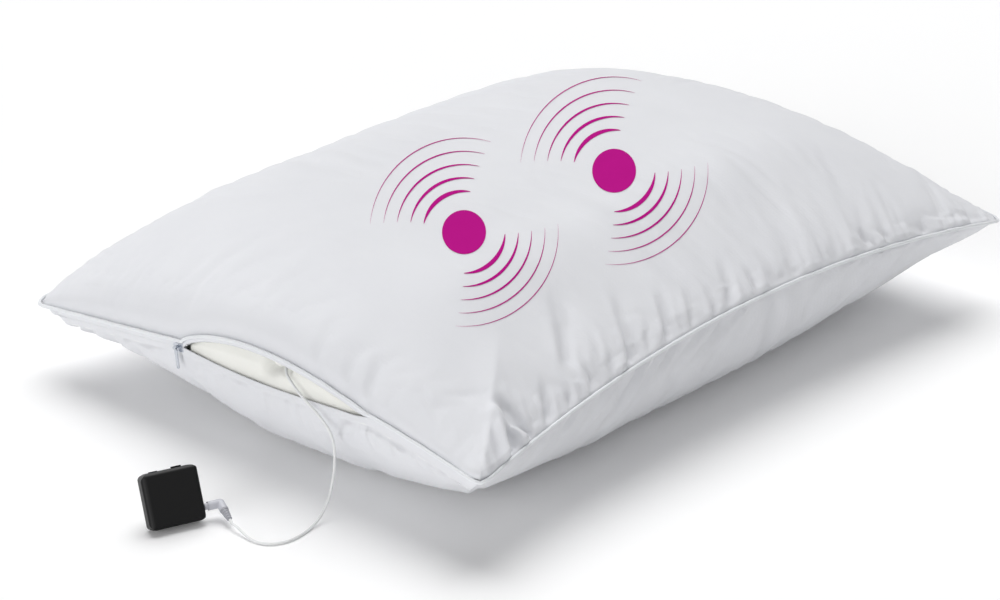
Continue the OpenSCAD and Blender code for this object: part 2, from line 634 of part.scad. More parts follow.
// Plate standing in XZ whose face at y = 0 has rounded edges
module soft_plate(w, h, d, corner, r) {
    intersection() {
        rotate([90, 0, 0]) translate([0, 0, -d]) linear_extrude(height = d) rounded(w, h, corner);
        linear_extrude(height = h) soft_edge(w, d, r);
        translate([w, 0, 0]) rotate([0, -90, 0]) linear_extrude(height = w) soft_edge(h, d, r);
    }
}
function screw_spots() = [for (x = [6.2, recv_w - 6.2]) for (z = [15.5, recv_h - 6.2]) [x, z]];
screw_r = 0.75;
boss_r = 2.2;
head_r = 1.4;
groove_gap = 0.3;
button_y = 6.6;
button_w = 3.2;
play_x = 29.4;
play_l = 8;
play_up = 1;
pair_x = 11.5;
pair_l = 7;
pair_up = 0.5;
flange = 0.7;
module pill(l, w, h) {
    translate([-(l - w) / 2, -w / 2, 0]) cube([l - w, w, h]);
    for (side = [-1, 1]) translate([side * (l - w) / 2, 0, 0]) cylinder(r = w / 2, h = h, $fn = 32);
}
port_z = 26;
port_w = 7.6;
port_t = 2.8;
board_y = 1.95;
board_t = 0.9;
module receiver_front_shell() {
    color("black") at_receiver() difference() {
        soft_plate(recv_w, recv_h, front_d, recv_corner, recv_round);
        difference() {
            translate([shell_t, shell_t + 0.2, shell_t])
                cube([recv_w - 2 * shell_t, front_d, recv_h - 2 * shell_t]);
            for (p = screw_spots())
                translate([p[0], -1, p[1]]) rotate([-90, 0, 0]) cylinder(r = boss_r, h = front_d + 1, $fn = 32);
            for (x = [0, recv_w - 3.4]) for (z = [0, recv_h - 3.4])
                translate([x, 0, z]) cube([3.4, front_d, 3.4]);
        }
        for (p = screw_spots())
            translate([p[0], front_d - 5, p[1]]) rotate([-90, 0, 0]) cylinder(r = screw_r + 0.15, h = 6, $fn = 24);
        translate([recv_w - 4, jack_y, jack_z]) rotate([0, 90, 0]) cylinder(r = 2.7, h = 6, $fn = 40);
        translate([recv_w - 4, board_y + board_t + 1.6 - port_t / 2, port_z - port_w / 2]) cube([6, port_t, port_w]);
        translate([play_x, button_y, recv_h - 3]) pill(play_l + 2 * clear, button_w + 2 * clear, 6);
        translate([pair_x, button_y, recv_h - 3]) pill(pair_l + 2 * clear, button_w + 2 * clear, 6);
    }
}
back_in = 0.7;
module receiver_back_shell() {
    depth = recv_d - front_d - groove_gap;
    color("black") at_receiver() difference() {
        union() {
            translate([recv_w - back_in, recv_d, 0]) rotate([0, 0, 180])
                soft_plate(recv_w - 2 * back_in, recv_h - back_in, depth, recv_corner - back_in, foot_r);
            for (side = [-1, 1]) translate([recv_w / 2 + side * lug_x, recv_d - 0.5, pin_z]) clip_lug();
        }
        translate([shell_t + back_in, 0, shell_t])
            cube([recv_w - 2 * (shell_t + back_in), recv_d - shell_t, recv_h - back_in - 2 * shell_t]);
        for (p = screw_spots()) {
            translate([p[0], front_d, p[1]]) rotate([-90, 0, 0]) cylinder(r = screw_r + 0.15, h = 10, $fn = 24);
            translate([p[0], recv_d - 1, p[1]]) rotate([-90, 0, 0]) cylinder(r = head_r + 0.15, h = 2, $fn = 32);
        }
        translate([0, recv_d + pin_out, pin_z]) rotate([0, 90, 0]) cylinder(r = pin_r, h = recv_w, $fn = 32);
    }
}
module receiver_screws() {
    for (p = screw_spots()) color("dimgray") at_receiver() translate([p[0], recv_d - 0.9, p[1]]) {
        rotate([90, 0, 0]) cylinder(r = screw_r, h = recv_d - 0.9 - front_d + 4.8, $fn = 24);
        rotate([-90, 0, 0]) difference() {
            cylinder(r = head_r, h = 0.8, $fn = 32);
            translate([-head_r, -0.2, 0.4]) cube([2 * head_r, 0.4, 1]);
        }
    }
}
module receiver_board() {
    color("seagreen") at_receiver() difference() {
        translate([3.8, board_y, 3.8]) cube([recv_w - 7.6, board_t, recv_h - 8.2]);
        for (p = screw_spots())
            translate([p[0] < recv_w / 2 ? 0 : p[0] - boss_r - 0.3, 0, p[1] - boss_r - 0.3])
                cube([p[0] < recv_w / 2 ? p[0] + boss_r + 0.3 : 12, 10, p[1] > recv_h / 2 ? 12 : 2 * boss_r + 0.6]);
    }
}
module receiver_battery() {
    color("steelblue") at_receiver() translate([9.5, board_y + board_t + 0.1, 5])
        cube([20, 4.4, 29]);
}
socket_l = 11.5;
module receiver_jack_socket() {
    color("dimgray") at_receiver() difference() {
        translate([recv_w - shell_t - snug - socket_l, board_y + board_t + 0.1, jack_z - 3])
            cube([socket_l, 2 * (jack_y - board_y - board_t - 0.1), 6]);
        translate([recv_w - 14, jack_y, jack_z]) rotate([0, 90, 0]) cylinder(r = 1.85, h = 16, $fn = 40);
    }
}
module receiver_charge_port() {
    color("silver") at_receiver() difference() {
        translate([recv_w - shell_t - 5, board_y + board_t + 0.1, port_z - 3.6]) cube([4.9, 2.6, 7.2]);
        translate([recv_w - shell_t - 4, board_y + board_t + 0.6, port_z - 3.1]) cube([6, 1.6, 6.2]);
    }
}
switch_top = recv_h - shell_t - flange - clear - 0.9;
module receiver_switches() {
    color("dimgray") at_receiver() for (x = [play_x, pair_x])
        translate([x - 2, board_y + board_t + 0.1, switch_top - 2.2]) cube([4, 5.2, 2.2]);
}
module top_button(x, l, up) {
    translate([x, button_y, recv_h - shell_t - clear]) {
        pill(l, button_w, shell_t + clear + up);
        translate([0, 0, -flange]) pill(l + 1.8, button_w + 1.6, flange);
    }
}
module play_button() { color("black") at_receiver() top_button(play_x, play_l, play_up); }
module pair_button() { color("black") at_receiver() top_button(pair_x, pair_l, pair_up); }

// Spring clip on the back: its lower lip is also the foot that props the receiver
pin_z = 31;
pin_out = 3;
pin_r = 0.8;
lug_x = 8.4;
lug_t = 2.2;
clip_w = 24;
clip_gap = 2;
clip_t = 2;
clip_up = 7;
knuckle_r = 2;
clip_foot = ((recv_d + clip_gap + clip_t) * sin(recv_lean) - recv_lift) / cos(recv_lean) + 0.25;
module clip_lug() {
    rotate([0, 90, 0]) {
        translate([0, pin_out + 0.5, 0]) cylinder(r = knuckle_r, h = lug_t, center = true, $fn = 40);
        translate([-knuckle_r, 0, -lug_t / 2]) cube([2 * knuckle_r, pin_out + 0.5, lug_t]);
    }
}
module receiver_clip() {
    color("black") at_receiver() difference() {
        union() {
            translate([(recv_w - clip_w) / 2, recv_d + clip_gap, clip_foot])
                cube([clip_w, clip_t, pin_z + clip_up - clip_foot]);
            translate([(recv_w - clip_w) / 2, recv_d + clear, clip_foot]) cube([clip_w, clip_gap, 1.6]);
            translate([recv_w / 2, recv_d + pin_out, pin_z]) rotate([0, 90, 0])
                cylinder(r = knuckle_r, h = 2 * knuckle_half, center = true, $fn = 40);
        }
        for (side = [-1, 1])
            translate([recv_w / 2 + side * lug_x, recv_d + clip_gap + clip_t / 2, pin_z])
                cube([lug_t + 0.8, clip_t + 4, 2 * knuckle_r + 1.2], center = true);
        translate([0, recv_d + pin_out, pin_z]) rotate([0, 90, 0]) cylinder(r = pin_r + 0.25, h = recv_w, $fn = 32);
        translate([recv_w / 2 + knuckle_half + coil_l / 2 + clear, recv_d + clip_gap + clip_t / 2, pin_z])
            cube([coil_l + 2 * clear, clip_t + 4, 2 * coil_r + 1.8], center = true);
    }
}
knuckle_half = 2;
coil_r = 1.45;
coil_l = 3.2;
coil_wire = 0.3;
coil_turns = 3;
module clip_pin() {
    color("silver") at_receiver()
        translate([recv_w / 2 - lug_x - lug_t / 2 - 0.2, recv_d + pin_out, pin_z]) rotate([0, 90, 0])
            cylinder(r = pin_r - 0.05, h = 2 * lug_x + lug_t + 0.4, $fn = 32);
}
module clip_spring() {
    first_x = recv_w / 2 + knuckle_half + 0.5;
    steps = 12;
    pitch = (coil_l - 2 * coil_wire - 0.2) / coil_turns;
    coil = [for (i = [0:coil_turns * steps])
        [first_x + coil_wire + pitch * i / steps, recv_d + pin_out + coil_r * sin(360 * i / steps),
         pin_z + coil_r * cos(360 * i / steps)]];
    legs = [last(coil) + [0, -coil_r * 0.6, -0.1], last(coil) + [0, -pin_out + coil_wire + 0.15, 0.6]];
    color("silver") at_receiver() tube(concat(coil, [legs[1]]), coil_wire, 5, false);
}

// Printed wave marks: drawn as circles across the line of sight, then cast onto the crown
sight = [sin(sight_turn) * cos(sight_fall), cos(sight_turn) * cos(sight_fall), -sin(sight_fall)];
sight_right = [cos(sight_turn), -sin(sight_turn), 0];
sight_up = cross(sight_right, sight);
ink_gap = 0.35;
ink_t = 0.4;
mark_left = [-142, -62];
mark_right = [33, -63.5];
function crown_at(x, y) =
    let (s = x / half_l, t = y / (half_w - side_pinch * (1 - s * s))) cover_z(s, t, 0);
function above(p, k) = let (q = p + k * sight) q[2] - crown_at(q[0], q[1]);
function cast_on(p, k, tries) =
    tries == 0 ? p + k * sight
               : let (g = above(p, k), h = above(p, k + 1)) cast_on(p, k - g / (h - g), tries - 1);
function mark_point(mark, r, a) =
    let (c = [mark[0], mark[1], crown_at(mark[0], mark[1])])
    cast_on(c + r * (cos(a) * sight_right + sin(a) * sight_up), 0, 5);
module crescent(mark, r, width, from, to, steps) {
    rings = [for (i = [0:steps])
        let (a = mix(from, to, i / steps), w = (0.16 + 0.84 * pow(sin(180 * i / steps), 0.8)) * width / 2,
             p = mark_point(mark, r - w, a), q = mark_point(mark, r + w, a))
        [p + [0, 0, ink_gap], q + [0, 0, ink_gap], q + [0, 0, ink_gap + ink_t], p + [0, 0, ink_gap + ink_t]]];
    skin(rings);
}
module disc(mark, steps) {
    low = [for (i = [0:steps - 1]) mark_point(mark, disc_r, 360 * i / steps) + [0, 0, ink_gap]];
    inner = [for (i = [0:steps - 1]) mark_point(mark, disc_r / 2, 360 * i / steps) + [0, 0, ink_gap]];
    lift = [0, 0, ink_t];
    c = mark_point(mark, 0, 0) + [0, 0, ink_gap];
    skin([[for (p = inner) p + lift], [for (p = low) p + lift], low, inner], c + lift, c);
}
arc_count = 5;
module wave_mark(mark) {
    disc(mark, 24);
    for (i = [0:arc_count - 1])
        let (r = arc_first + i * arc_step, w = arc_width * pow(0.68, i), k = i / (arc_count - 1)) {
            crescent(mark, r, w, mix(81, 73, k), mix(168, 175, k), 12);
            crescent(mark, r, w, mix(-90, -95.5, k), mix(-2.5, 5, k), 12);
        }
}
module wave_print() {
    color("mediumvioletred") for (mark = [mark_left, mark_right]) wave_mark(mark);
}

cover_top_panel();
cover_bottom_panel();
cover_piping();
zip_tape_upper();
zip_tape_lower();
zip_teeth_upper();
zip_teeth_lower();
zip_end_stop();
zip_open_stops();
zip_slider();
zip_pull();
inner_ticking();
fibre_fill();
speaker_pad();
speaker_basket_left();
speaker_basket_right();
speaker_magnet_left();
speaker_magnet_right();
speaker_cone_left();
speaker_cone_right();
speaker_wire_left();
speaker_wire_right();
wire_splice();
cord_lead_in();
cord_grommet();
audio_cord();
plug_body();
plug_strain_relief();
plug_contact();
receiver_front_shell();
receiver_back_shell();
receiver_board();
receiver_battery();
receiver_jack_socket();
receiver_charge_port();
receiver_switches();
play_button();
pair_button();
receiver_clip();
clip_pin();
clip_spring();
receiver_screws();
wave_print();
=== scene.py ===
"""Dresses the speaker pillow: cloth, zip, lead, receiver, studio floor, light and camera."""

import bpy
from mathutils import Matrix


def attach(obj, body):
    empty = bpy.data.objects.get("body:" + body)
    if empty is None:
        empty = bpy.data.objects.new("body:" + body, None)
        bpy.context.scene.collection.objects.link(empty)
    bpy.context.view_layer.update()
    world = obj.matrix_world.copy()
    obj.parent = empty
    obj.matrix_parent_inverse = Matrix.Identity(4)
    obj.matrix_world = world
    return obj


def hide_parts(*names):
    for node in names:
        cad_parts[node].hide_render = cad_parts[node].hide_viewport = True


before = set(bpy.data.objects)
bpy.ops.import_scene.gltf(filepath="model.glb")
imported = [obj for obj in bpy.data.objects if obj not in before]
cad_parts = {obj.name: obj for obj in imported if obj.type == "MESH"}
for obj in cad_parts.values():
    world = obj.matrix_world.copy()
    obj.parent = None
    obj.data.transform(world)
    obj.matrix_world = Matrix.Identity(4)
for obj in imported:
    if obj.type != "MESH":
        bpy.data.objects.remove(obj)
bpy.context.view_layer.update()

import logging
import math
from collections.abc import Callable, Iterable
from dataclasses import dataclass, field
from enum import Enum, IntEnum

import bmesh
import bpy
from mathutils import Matrix, Vector, noise
from mathutils.bvhtree import BVHTree

LOG = logging.getLogger("pillow")
MM = 0.001
CUT = (0.66, 0.508)
SIGHT = (0.6703, 0.6207, -0.4067)
TINY = 1e-6
BODY = "pillow"


class Slot(str, Enum):
    """Names of material slots: cotton, piping, ticking, ink and cord."""

    COTTON = "cotton"
    PIPING = "piping"
    TICKING = "ticking"
    INK = "ink"
    CORD = "cord"


class Corner(IntEnum):
    """The pillow's corners, in the order of the form's values for its ears."""

    ZIP_SHUT = 0
    FRONT = 1
    RIGHT = 2
    BACK = 3


def clamp(value: float, low: float = 0.0, high: float = 1.0) -> float:
    """Returns value held between low and high."""
    return min(max(value, low), high)


def mix(a: float, b: float, k: float) -> float:
    """Returns the value a share k of the way from a to b."""
    return a + (b - a) * k


def smooth(k: float) -> float:
    """Returns k eased at both ends."""
    k = clamp(k)
    return k * k * (3 - 2 * k)


def crowd(place: float, gain: float) -> float:
    """Returns a grid place from -1 to 1 moved outwards, so that rows crowd at the seams."""
    return place + gain * place * (1 - place * place)


def linear(hex_colour: str) -> tuple[float, float, float, float]:
    """Turns an sRGB hex colour into linear values.

    Args:
        hex_colour: Six hex digits after a hash sign.

    Returns:
        Red, green, blue and an alpha of 1.
    """
    parts = [int(hex_colour[i : i + 2], 16) / 255 for i in (1, 3, 5)]
    values = [c / 12.92 if c <= 0.04045 else ((c + 0.055) / 1.055) ** 2.4 for c in parts]
    return (values[0], values[1], values[2], 1.0)


def add_node(tree: bpy.types.NodeTree, kind: str, inputs: dict | None = None, **settings) -> bpy.types.Node:
    """Adds one shader node.

    Args:
        tree: The material's or world's node tree.
        kind: The node's type name.
        inputs: Socket name or number to a value, or to the socket that feeds it.
        settings: The node's own attributes.

    Returns:
        The new node.
    """
    node = tree.nodes.new(kind)
    for key, value in settings.items():
        setattr(node, key, value)
    for key, value in (inputs or {}).items():
        if isinstance(value, bpy.types.NodeSocket):
            tree.links.new(value, node.inputs[key])
        else:
            node.inputs[key].default_value = value
    return node


def new_material(name: str) -> tuple[bpy.types.Material, bpy.types.NodeTree]:
    """Makes an empty node material and returns it with its tree.

    Args:
        name: The material's name.

    Returns:
        The material and its empty node tree.
    """
    material = bpy.data.materials.new(name)
    material.use_nodes = True
    material.node_tree.nodes.clear()
    return material, material.node_tree


def add_noise(tree: bpy.types.NodeTree, scale: float, detail: float, **more: float) -> bpy.types.NodeSocket:
    """Adds a noise texture fixed to the object.

    Args:
        tree: The material's node tree.
        scale: How many grains lie along a metre.
        detail: How many finer layers it has.
        more: The texture's other inputs.

    Returns:
        The socket of its values.
    """
    place = add_node(tree, "ShaderNodeTexCoord").outputs["Object"]
    inputs = {"Vector": place, "Scale": scale, "Detail": detail, **more}
    return add_node(tree, "ShaderNodeTexNoise", inputs).outputs["Fac"]


def add_bump(tree: bpy.types.NodeTree, height: bpy.types.NodeSocket, height_mm: float,
             under: bpy.types.NodeSocket | None = None) -> bpy.types.NodeSocket:
    """Adds a fine relief.

    Args:
        tree: The material's node tree.
        height: The relief's values.
        height_mm: Its greatest height in millimetres.
        under: The relief that it lies on.

    Returns:
        The socket of the new normal.
    """
    inputs = {"Height": height, "Distance": height_mm * MM, "Strength": 1.0}
    if under:
        inputs["Normal"] = under
    return add_node(tree, "ShaderNodeBump", inputs).outputs[0]


def close_material(tree: bpy.types.NodeTree, shader: bpy.types.Node) -> None:
    """Links the finished shader to the material's output."""
    add_node(tree, "ShaderNodeOutputMaterial", {"Surface": shader.outputs[0]})


def set_material(obj: bpy.types.Object, material: bpy.types.Material) -> None:
    """Gives the object one material in every slot.

    Args:
        obj: The object to finish.
        material: Its finish.
    """
    if not obj.material_slots:
        obj.data.materials.append(material)
    for slot in obj.material_slots:
        slot.material = material


@dataclass(frozen=True)
class WovenCloth:
    """Plain-woven cloth: matt, with a soft sheen at grazing angles and fine creases from handling."""

    name: str
    colour: str
    shade: str
    thread_mm: float = 0.6
    thread_height: float = 0.03
    crease_mm: float = 9.0
    crease_height: float = 0.25
    roughness: float = 0.9
    gloss: float = 0.25
    sheen: float = 0.15
    on_uv: bool = True

    def material(self) -> bpy.types.Material:
        """Returns the cloth's material, whose weave follows the cloth where it has a map of its own.

        Returns:
            The material.
        """
        material, tree = new_material(self.name)
        spot = add_node(tree, "ShaderNodeTexCoord").outputs["UV" if self.on_uv else "Object"]
        # Percale thread is about 0.25 mm and too fine to show here, so it is drawn coarser
        bands = 1 / (self.thread_mm * MM) / 20
        warp, weft = (add_node(tree, "ShaderNodeTexWave", {"Vector": spot, "Scale": bands},
                               bands_direction=way).outputs["Fac"] for way in "XY")
        weave = add_node(tree, "ShaderNodeMath", {0: warp, 1: weft}, operation="MULTIPLY")
        # The crumple gives broken, soft highlights, and the mottle keeps large panels from looking painted
        crumple = add_noise(tree, 1 / (self.crease_mm * MM), 4.0, Roughness=0.55, Distortion=0.6)
        mottle = add_noise(tree, 22.0, 3.0)
        tint = add_node(tree, "ShaderNodeMix", {0: mottle, 6: linear(self.shade), 7: linear(self.colour)},
                        data_type="RGBA")
        folds = add_bump(tree, crumple, self.crease_height)
        threads = add_bump(tree, weave.outputs[0], self.thread_height, folds)
        shader = add_node(tree, "ShaderNodeBsdfPrincipled",
                          {"Base Color": tint.outputs[2], "Roughness": self.roughness,
                           "Specular IOR Level": self.gloss, "Sheen Weight": self.sheen,
                           "Sheen Roughness": 0.5, "Normal": threads})
        close_material(tree, shader)
        return material


@dataclass(frozen=True)
class MouldedPolymer:
    """Injection-moulded or extruded polymer: even colour, a fine spark-eroded grain and a soft gloss."""

    name: str
    colour: str
    roughness: float
    grain_mm: float = 0.6
    grain_height: float = 0.01
    gloss: float = 0.5
    variation: float = 0.06

    def material(self) -> bpy.types.Material:
        """Returns the polymer's material.

        Returns:
            The material.
        """
        material, tree = new_material(self.name)
        # The grain dulls the highlights evenly, and the handling marks make them a little uneven
        grain = add_noise(tree, 1 / (self.grain_mm * MM), 3.0)
        handled = add_noise(tree, 90.0, 2.0)
        rough = add_node(tree, "ShaderNodeMapRange",
                         {0: handled, 3: self.roughness - self.variation, 4: self.roughness + self.variation})
        relief = add_bump(tree, grain, self.grain_height)
        shader = add_node(tree, "ShaderNodeBsdfPrincipled",
                          {"Base Color": linear(self.colour), "Roughness": rough.outputs[0],
                           "Specular IOR Level": self.gloss, "Normal": relief})
        close_material(tree, shader)
        return material


@dataclass(frozen=True)
class PlatedMetal:
    """Plated or plain metal: bright, with fine tumbling marks that break up its reflections."""

    name: str
    colour: str
    roughness: float
    mark_mm: float = 1.2
    mark_height: float = 0.01

    def material(self) -> bpy.types.Material:
        """Returns the metal's material.

        Returns:
            The material.
        """
        material, tree = new_material(self.name)
        # The tumbling marks make the bright metal glint unevenly
        marks = add_noise(tree, 1 / (self.mark_mm * MM), 5.0)
        rough = add_node(tree, "ShaderNodeMapRange",
                         {0: marks, 3: self.roughness * 0.7, 4: self.roughness * 1.3})
        shader = add_node(tree, "ShaderNodeBsdfPrincipled",
                          {"Base Color": linear(self.colour), "Metallic": 1.0, "Roughness": rough.outputs[0],
                           "Normal": add_bump(tree, marks, self.mark_height)})
        close_material(tree, shader)
        return material


class Finishes:
    """Every finish of the object, each made once and named for the real material."""

    def __init__(self) -> None:
        """Makes the materials."""
        # The cover: crisp matt white cotton, a little blue, with brighter piping that draws the seams
        self.cotton = WovenCloth("cotton_percale", "#E6E7EA", "#E1E2E6").material()
        self.piping = WovenCloth("bias_bound_piping", "#EEF0F2", "#E6E8EB", thread_mm=0.5, crease_mm=4.0,
                                 crease_height=0.2, on_uv=False).material()
        self.tape = WovenCloth("polyester_zip_tape", "#F0F1F1", "#E8E9EA", thread_mm=0.8, crease_mm=6.0,
                               crease_height=0.05, on_uv=False).material()
        # The warm cream tells the inner pillow from its cover, and the flat ink has no shine of its own
        self.ticking = WovenCloth("cream_ticking", "#F6F6F1", "#F1F1EB", crease_mm=14.0,
                                  crease_height=0.6).material()
        self.ink = WovenCloth("magenta_screen_print", "#BC1889", "#B61584", thread_height=0.02,
                              crease_height=0.1, sheen=0.0, gloss=0.02, on_uv=False).material()
        # What the cover hides: fluffy fibre, open grey foam, dull black paper and dark magnets
        self.fibre = WovenCloth("hollow_fibre", "#F4F4F2", "#E9E9E6", crease_mm=5.0, crease_height=1.2,
                                on_uv=False).material()
        self.foam = WovenCloth("open_cell_foam", "#77797C", "#6A6C6F", crease_mm=1.4, crease_height=0.5,
                               on_uv=False).material()
        # Small pale mouldings, each a shade apart, so that lead, sleeve and plug read as separate pieces
        self.teeth = MouldedPolymer("acetal_teeth", "#E4E6E8", 0.4).material()
        self.jacket = MouldedPolymer("pvc_lead_jacket", "#E9EAEA", 0.45).material()
        self.plug = MouldedPolymer("pale_plug_moulding", "#C5C6CD", 0.4).material()
        self.relief = MouldedPolymer("ribbed_relief_moulding", "#A9AAB0", 0.5).material()
        # The receiver: deep satin black, with keys and socket a touch greyer and duller
        self.shell = MouldedPolymer("satin_black_abs", "#0B0B0C", 0.32, gloss=0.16).material()
        self.key = MouldedPolymer("matt_black_key", "#131415", 0.5, gloss=0.1).material()
        self.black = MouldedPolymer("black_nylon", "#141415", 0.55).material()
        self.paper = MouldedPolymer("pressed_black_paper", "#1D1C1B", 0.85, grain_mm=1.5,
                                    grain_height=0.08).material()
        self.board = MouldedPolymer("solder_mask_board", "#1E5A38", 0.35).material()
        # Bright metal for the slider and plug, and duller metal for springs, screws and foil
        self.nickel = PlatedMetal("bright_nickel", "#C9CDD4", 0.22).material()
        self.steel = PlatedMetal("plain_steel", "#A9ABAE", 0.35).material()
        self.ferrite = PlatedMetal("sintered_ferrite", "#3A3A3C", 0.6).material()
        self.foil = PlatedMetal("laminated_foil", "#B9BCC0", 0.4).material()
        self.dark_steel = PlatedMetal("blackened_steel", "#2B2B2D", 0.45).material()

    def dress(self, looks: dict[str, tuple[str, ...]]) -> None:
        """Gives CAD pieces their finishes.

        Args:
            looks: The name of a finish to the nodes that have it.
        """
        for look, names in looks.items():
            for name in names:
                set_material(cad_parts[name], getattr(self, look))
            LOG.info("%s: %s", look, ", ".join(names))


def make_piece(name: str, bm: bmesh.types.BMesh, material: bpy.types.Material,
               replaced: str) -> bpy.types.Object:
    """Turns a finished bmesh into a piece of the object.

    Args:
        name: The piece's name.
        bm: Its mesh in metres, in the shared frame. It is freed.
        material: Its finish.
        replaced: The CAD node it stands for.

    Returns:
        The new object.
    """
    mesh = bpy.data.meshes.new(name)
    bm.to_mesh(mesh)
    bm.free()
    for face in mesh.polygons:
        face.use_smooth = True
    obj = link(name, mesh)
    set_material(obj, material)
    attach(obj, BODY)
    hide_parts(replaced)
    LOG.info("%s: %d faces", name, len(mesh.polygons))
    return obj


def on_cut(s: float, t: float) -> tuple[float, float]:
    """Returns the place in metres on the flat cut cloth, for s and t from -1 to 1."""
    return (s * CUT[0] / 2, t * CUT[1] / 2)


def map_cloth(bm: bmesh.types.BMesh, faces: Iterable[bmesh.types.BMFace],
              spot: Callable[[bmesh.types.BMVert], tuple[float, float]]) -> None:
    """Gives faces a map in metres along the threads, for the weave to follow.

    Args:
        bm: The mesh.
        faces: The faces to map.
        spot: Gives each point's place on the flat cloth.
    """
    layer = bm.loops.layers.uv.get("cloth") or bm.loops.layers.uv.new("cloth")
    for face in faces:
        for loop in face.loops:
            loop[layer].uv = spot(loop.vert)


def link(name: str, data: bpy.types.ID) -> bpy.types.Object:
    """Puts data into the scene as a new object.

    Args:
        name: The object's name.
        data: Its mesh, curve, camera or light.

    Returns:
        The new object.
    """
    obj = bpy.data.objects.new(name, data)
    bpy.context.scene.collection.objects.link(obj)
    return obj


def aim(obj: bpy.types.Object, toward: tuple[float, float, float]) -> None:
    """Turns a light or the camera to look along a direction."""
    obj.rotation_mode = "QUATERNION"
    obj.rotation_quaternion = Vector(toward).to_track_quat("-Z", "Y")


def round_curve(name: str, points: list[Vector], radius: float, closed: bool, sides: int) -> bpy.types.Curve:
    """Makes a curve with a round section.

    Args:
        name: The curve's name.
        points: The centreline in metres.
        radius: The section's radius in metres.
        closed: True where the ends meet.
        sides: The bevel resolution.

    Returns:
        The curve.
    """
    curve = bpy.data.curves.new(name, "CURVE")
    curve.dimensions = "3D"
    curve.bevel_depth = radius
    curve.bevel_resolution = sides
    curve.use_fill_caps = not closed
    line = curve.splines.new("POLY")
    line.points.add(len(points) - 1)
    for spot, point in zip(line.points, points):
        spot.co = (*point, 1.0)
    line.use_cyclic_u = closed
    return curve


def tube_mesh(points: list[Vector], radius: float) -> bmesh.types.BMesh:
    """Makes a closed round tube along points.

    Args:
        points: The centreline in metres.
        radius: The tube's radius in metres.

    Returns:
        A new bmesh with the tube.
    """
    curve = round_curve("tube", points, radius, True, 3)
    obj = bpy.data.objects.new("tube", curve)
    mesh = bpy.data.meshes.new_from_object(obj)
    bm = bmesh.new()
    bm.from_mesh(mesh)
    bmesh.ops.remove_doubles(bm, verts=bm.verts, dist=TINY)
    bmesh.ops.recalc_face_normals(bm, faces=bm.faces)
    bpy.data.objects.remove(obj)
    bpy.data.curves.remove(curve)
    bpy.data.meshes.remove(mesh)
    return bm


def curve_through(points: list[Vector], steps: int) -> list[Vector]:
    """Returns points on a smooth line through the given ones, steps to each stretch.

    Args:
        points: The points to pass through.
        steps: How many stretches lie between two of them.

    Returns:
        The points of the smooth line.
    """
    out = []
    n = len(points)
    for i in range(n - 1):
        a, b, c, d = (points[max(i - 1, 0)], points[i], points[i + 1], points[min(i + 2, n - 1)])
        for j in range(steps):
            k = j / steps
            out.append(0.5 * (2 * b + (c - a) * k + (2 * a - 5 * b + 4 * c - d) * k * k
                              + (3 * b - a - 3 * c + d) * k * k * k))
    out.append(points[-1].copy())
    return out


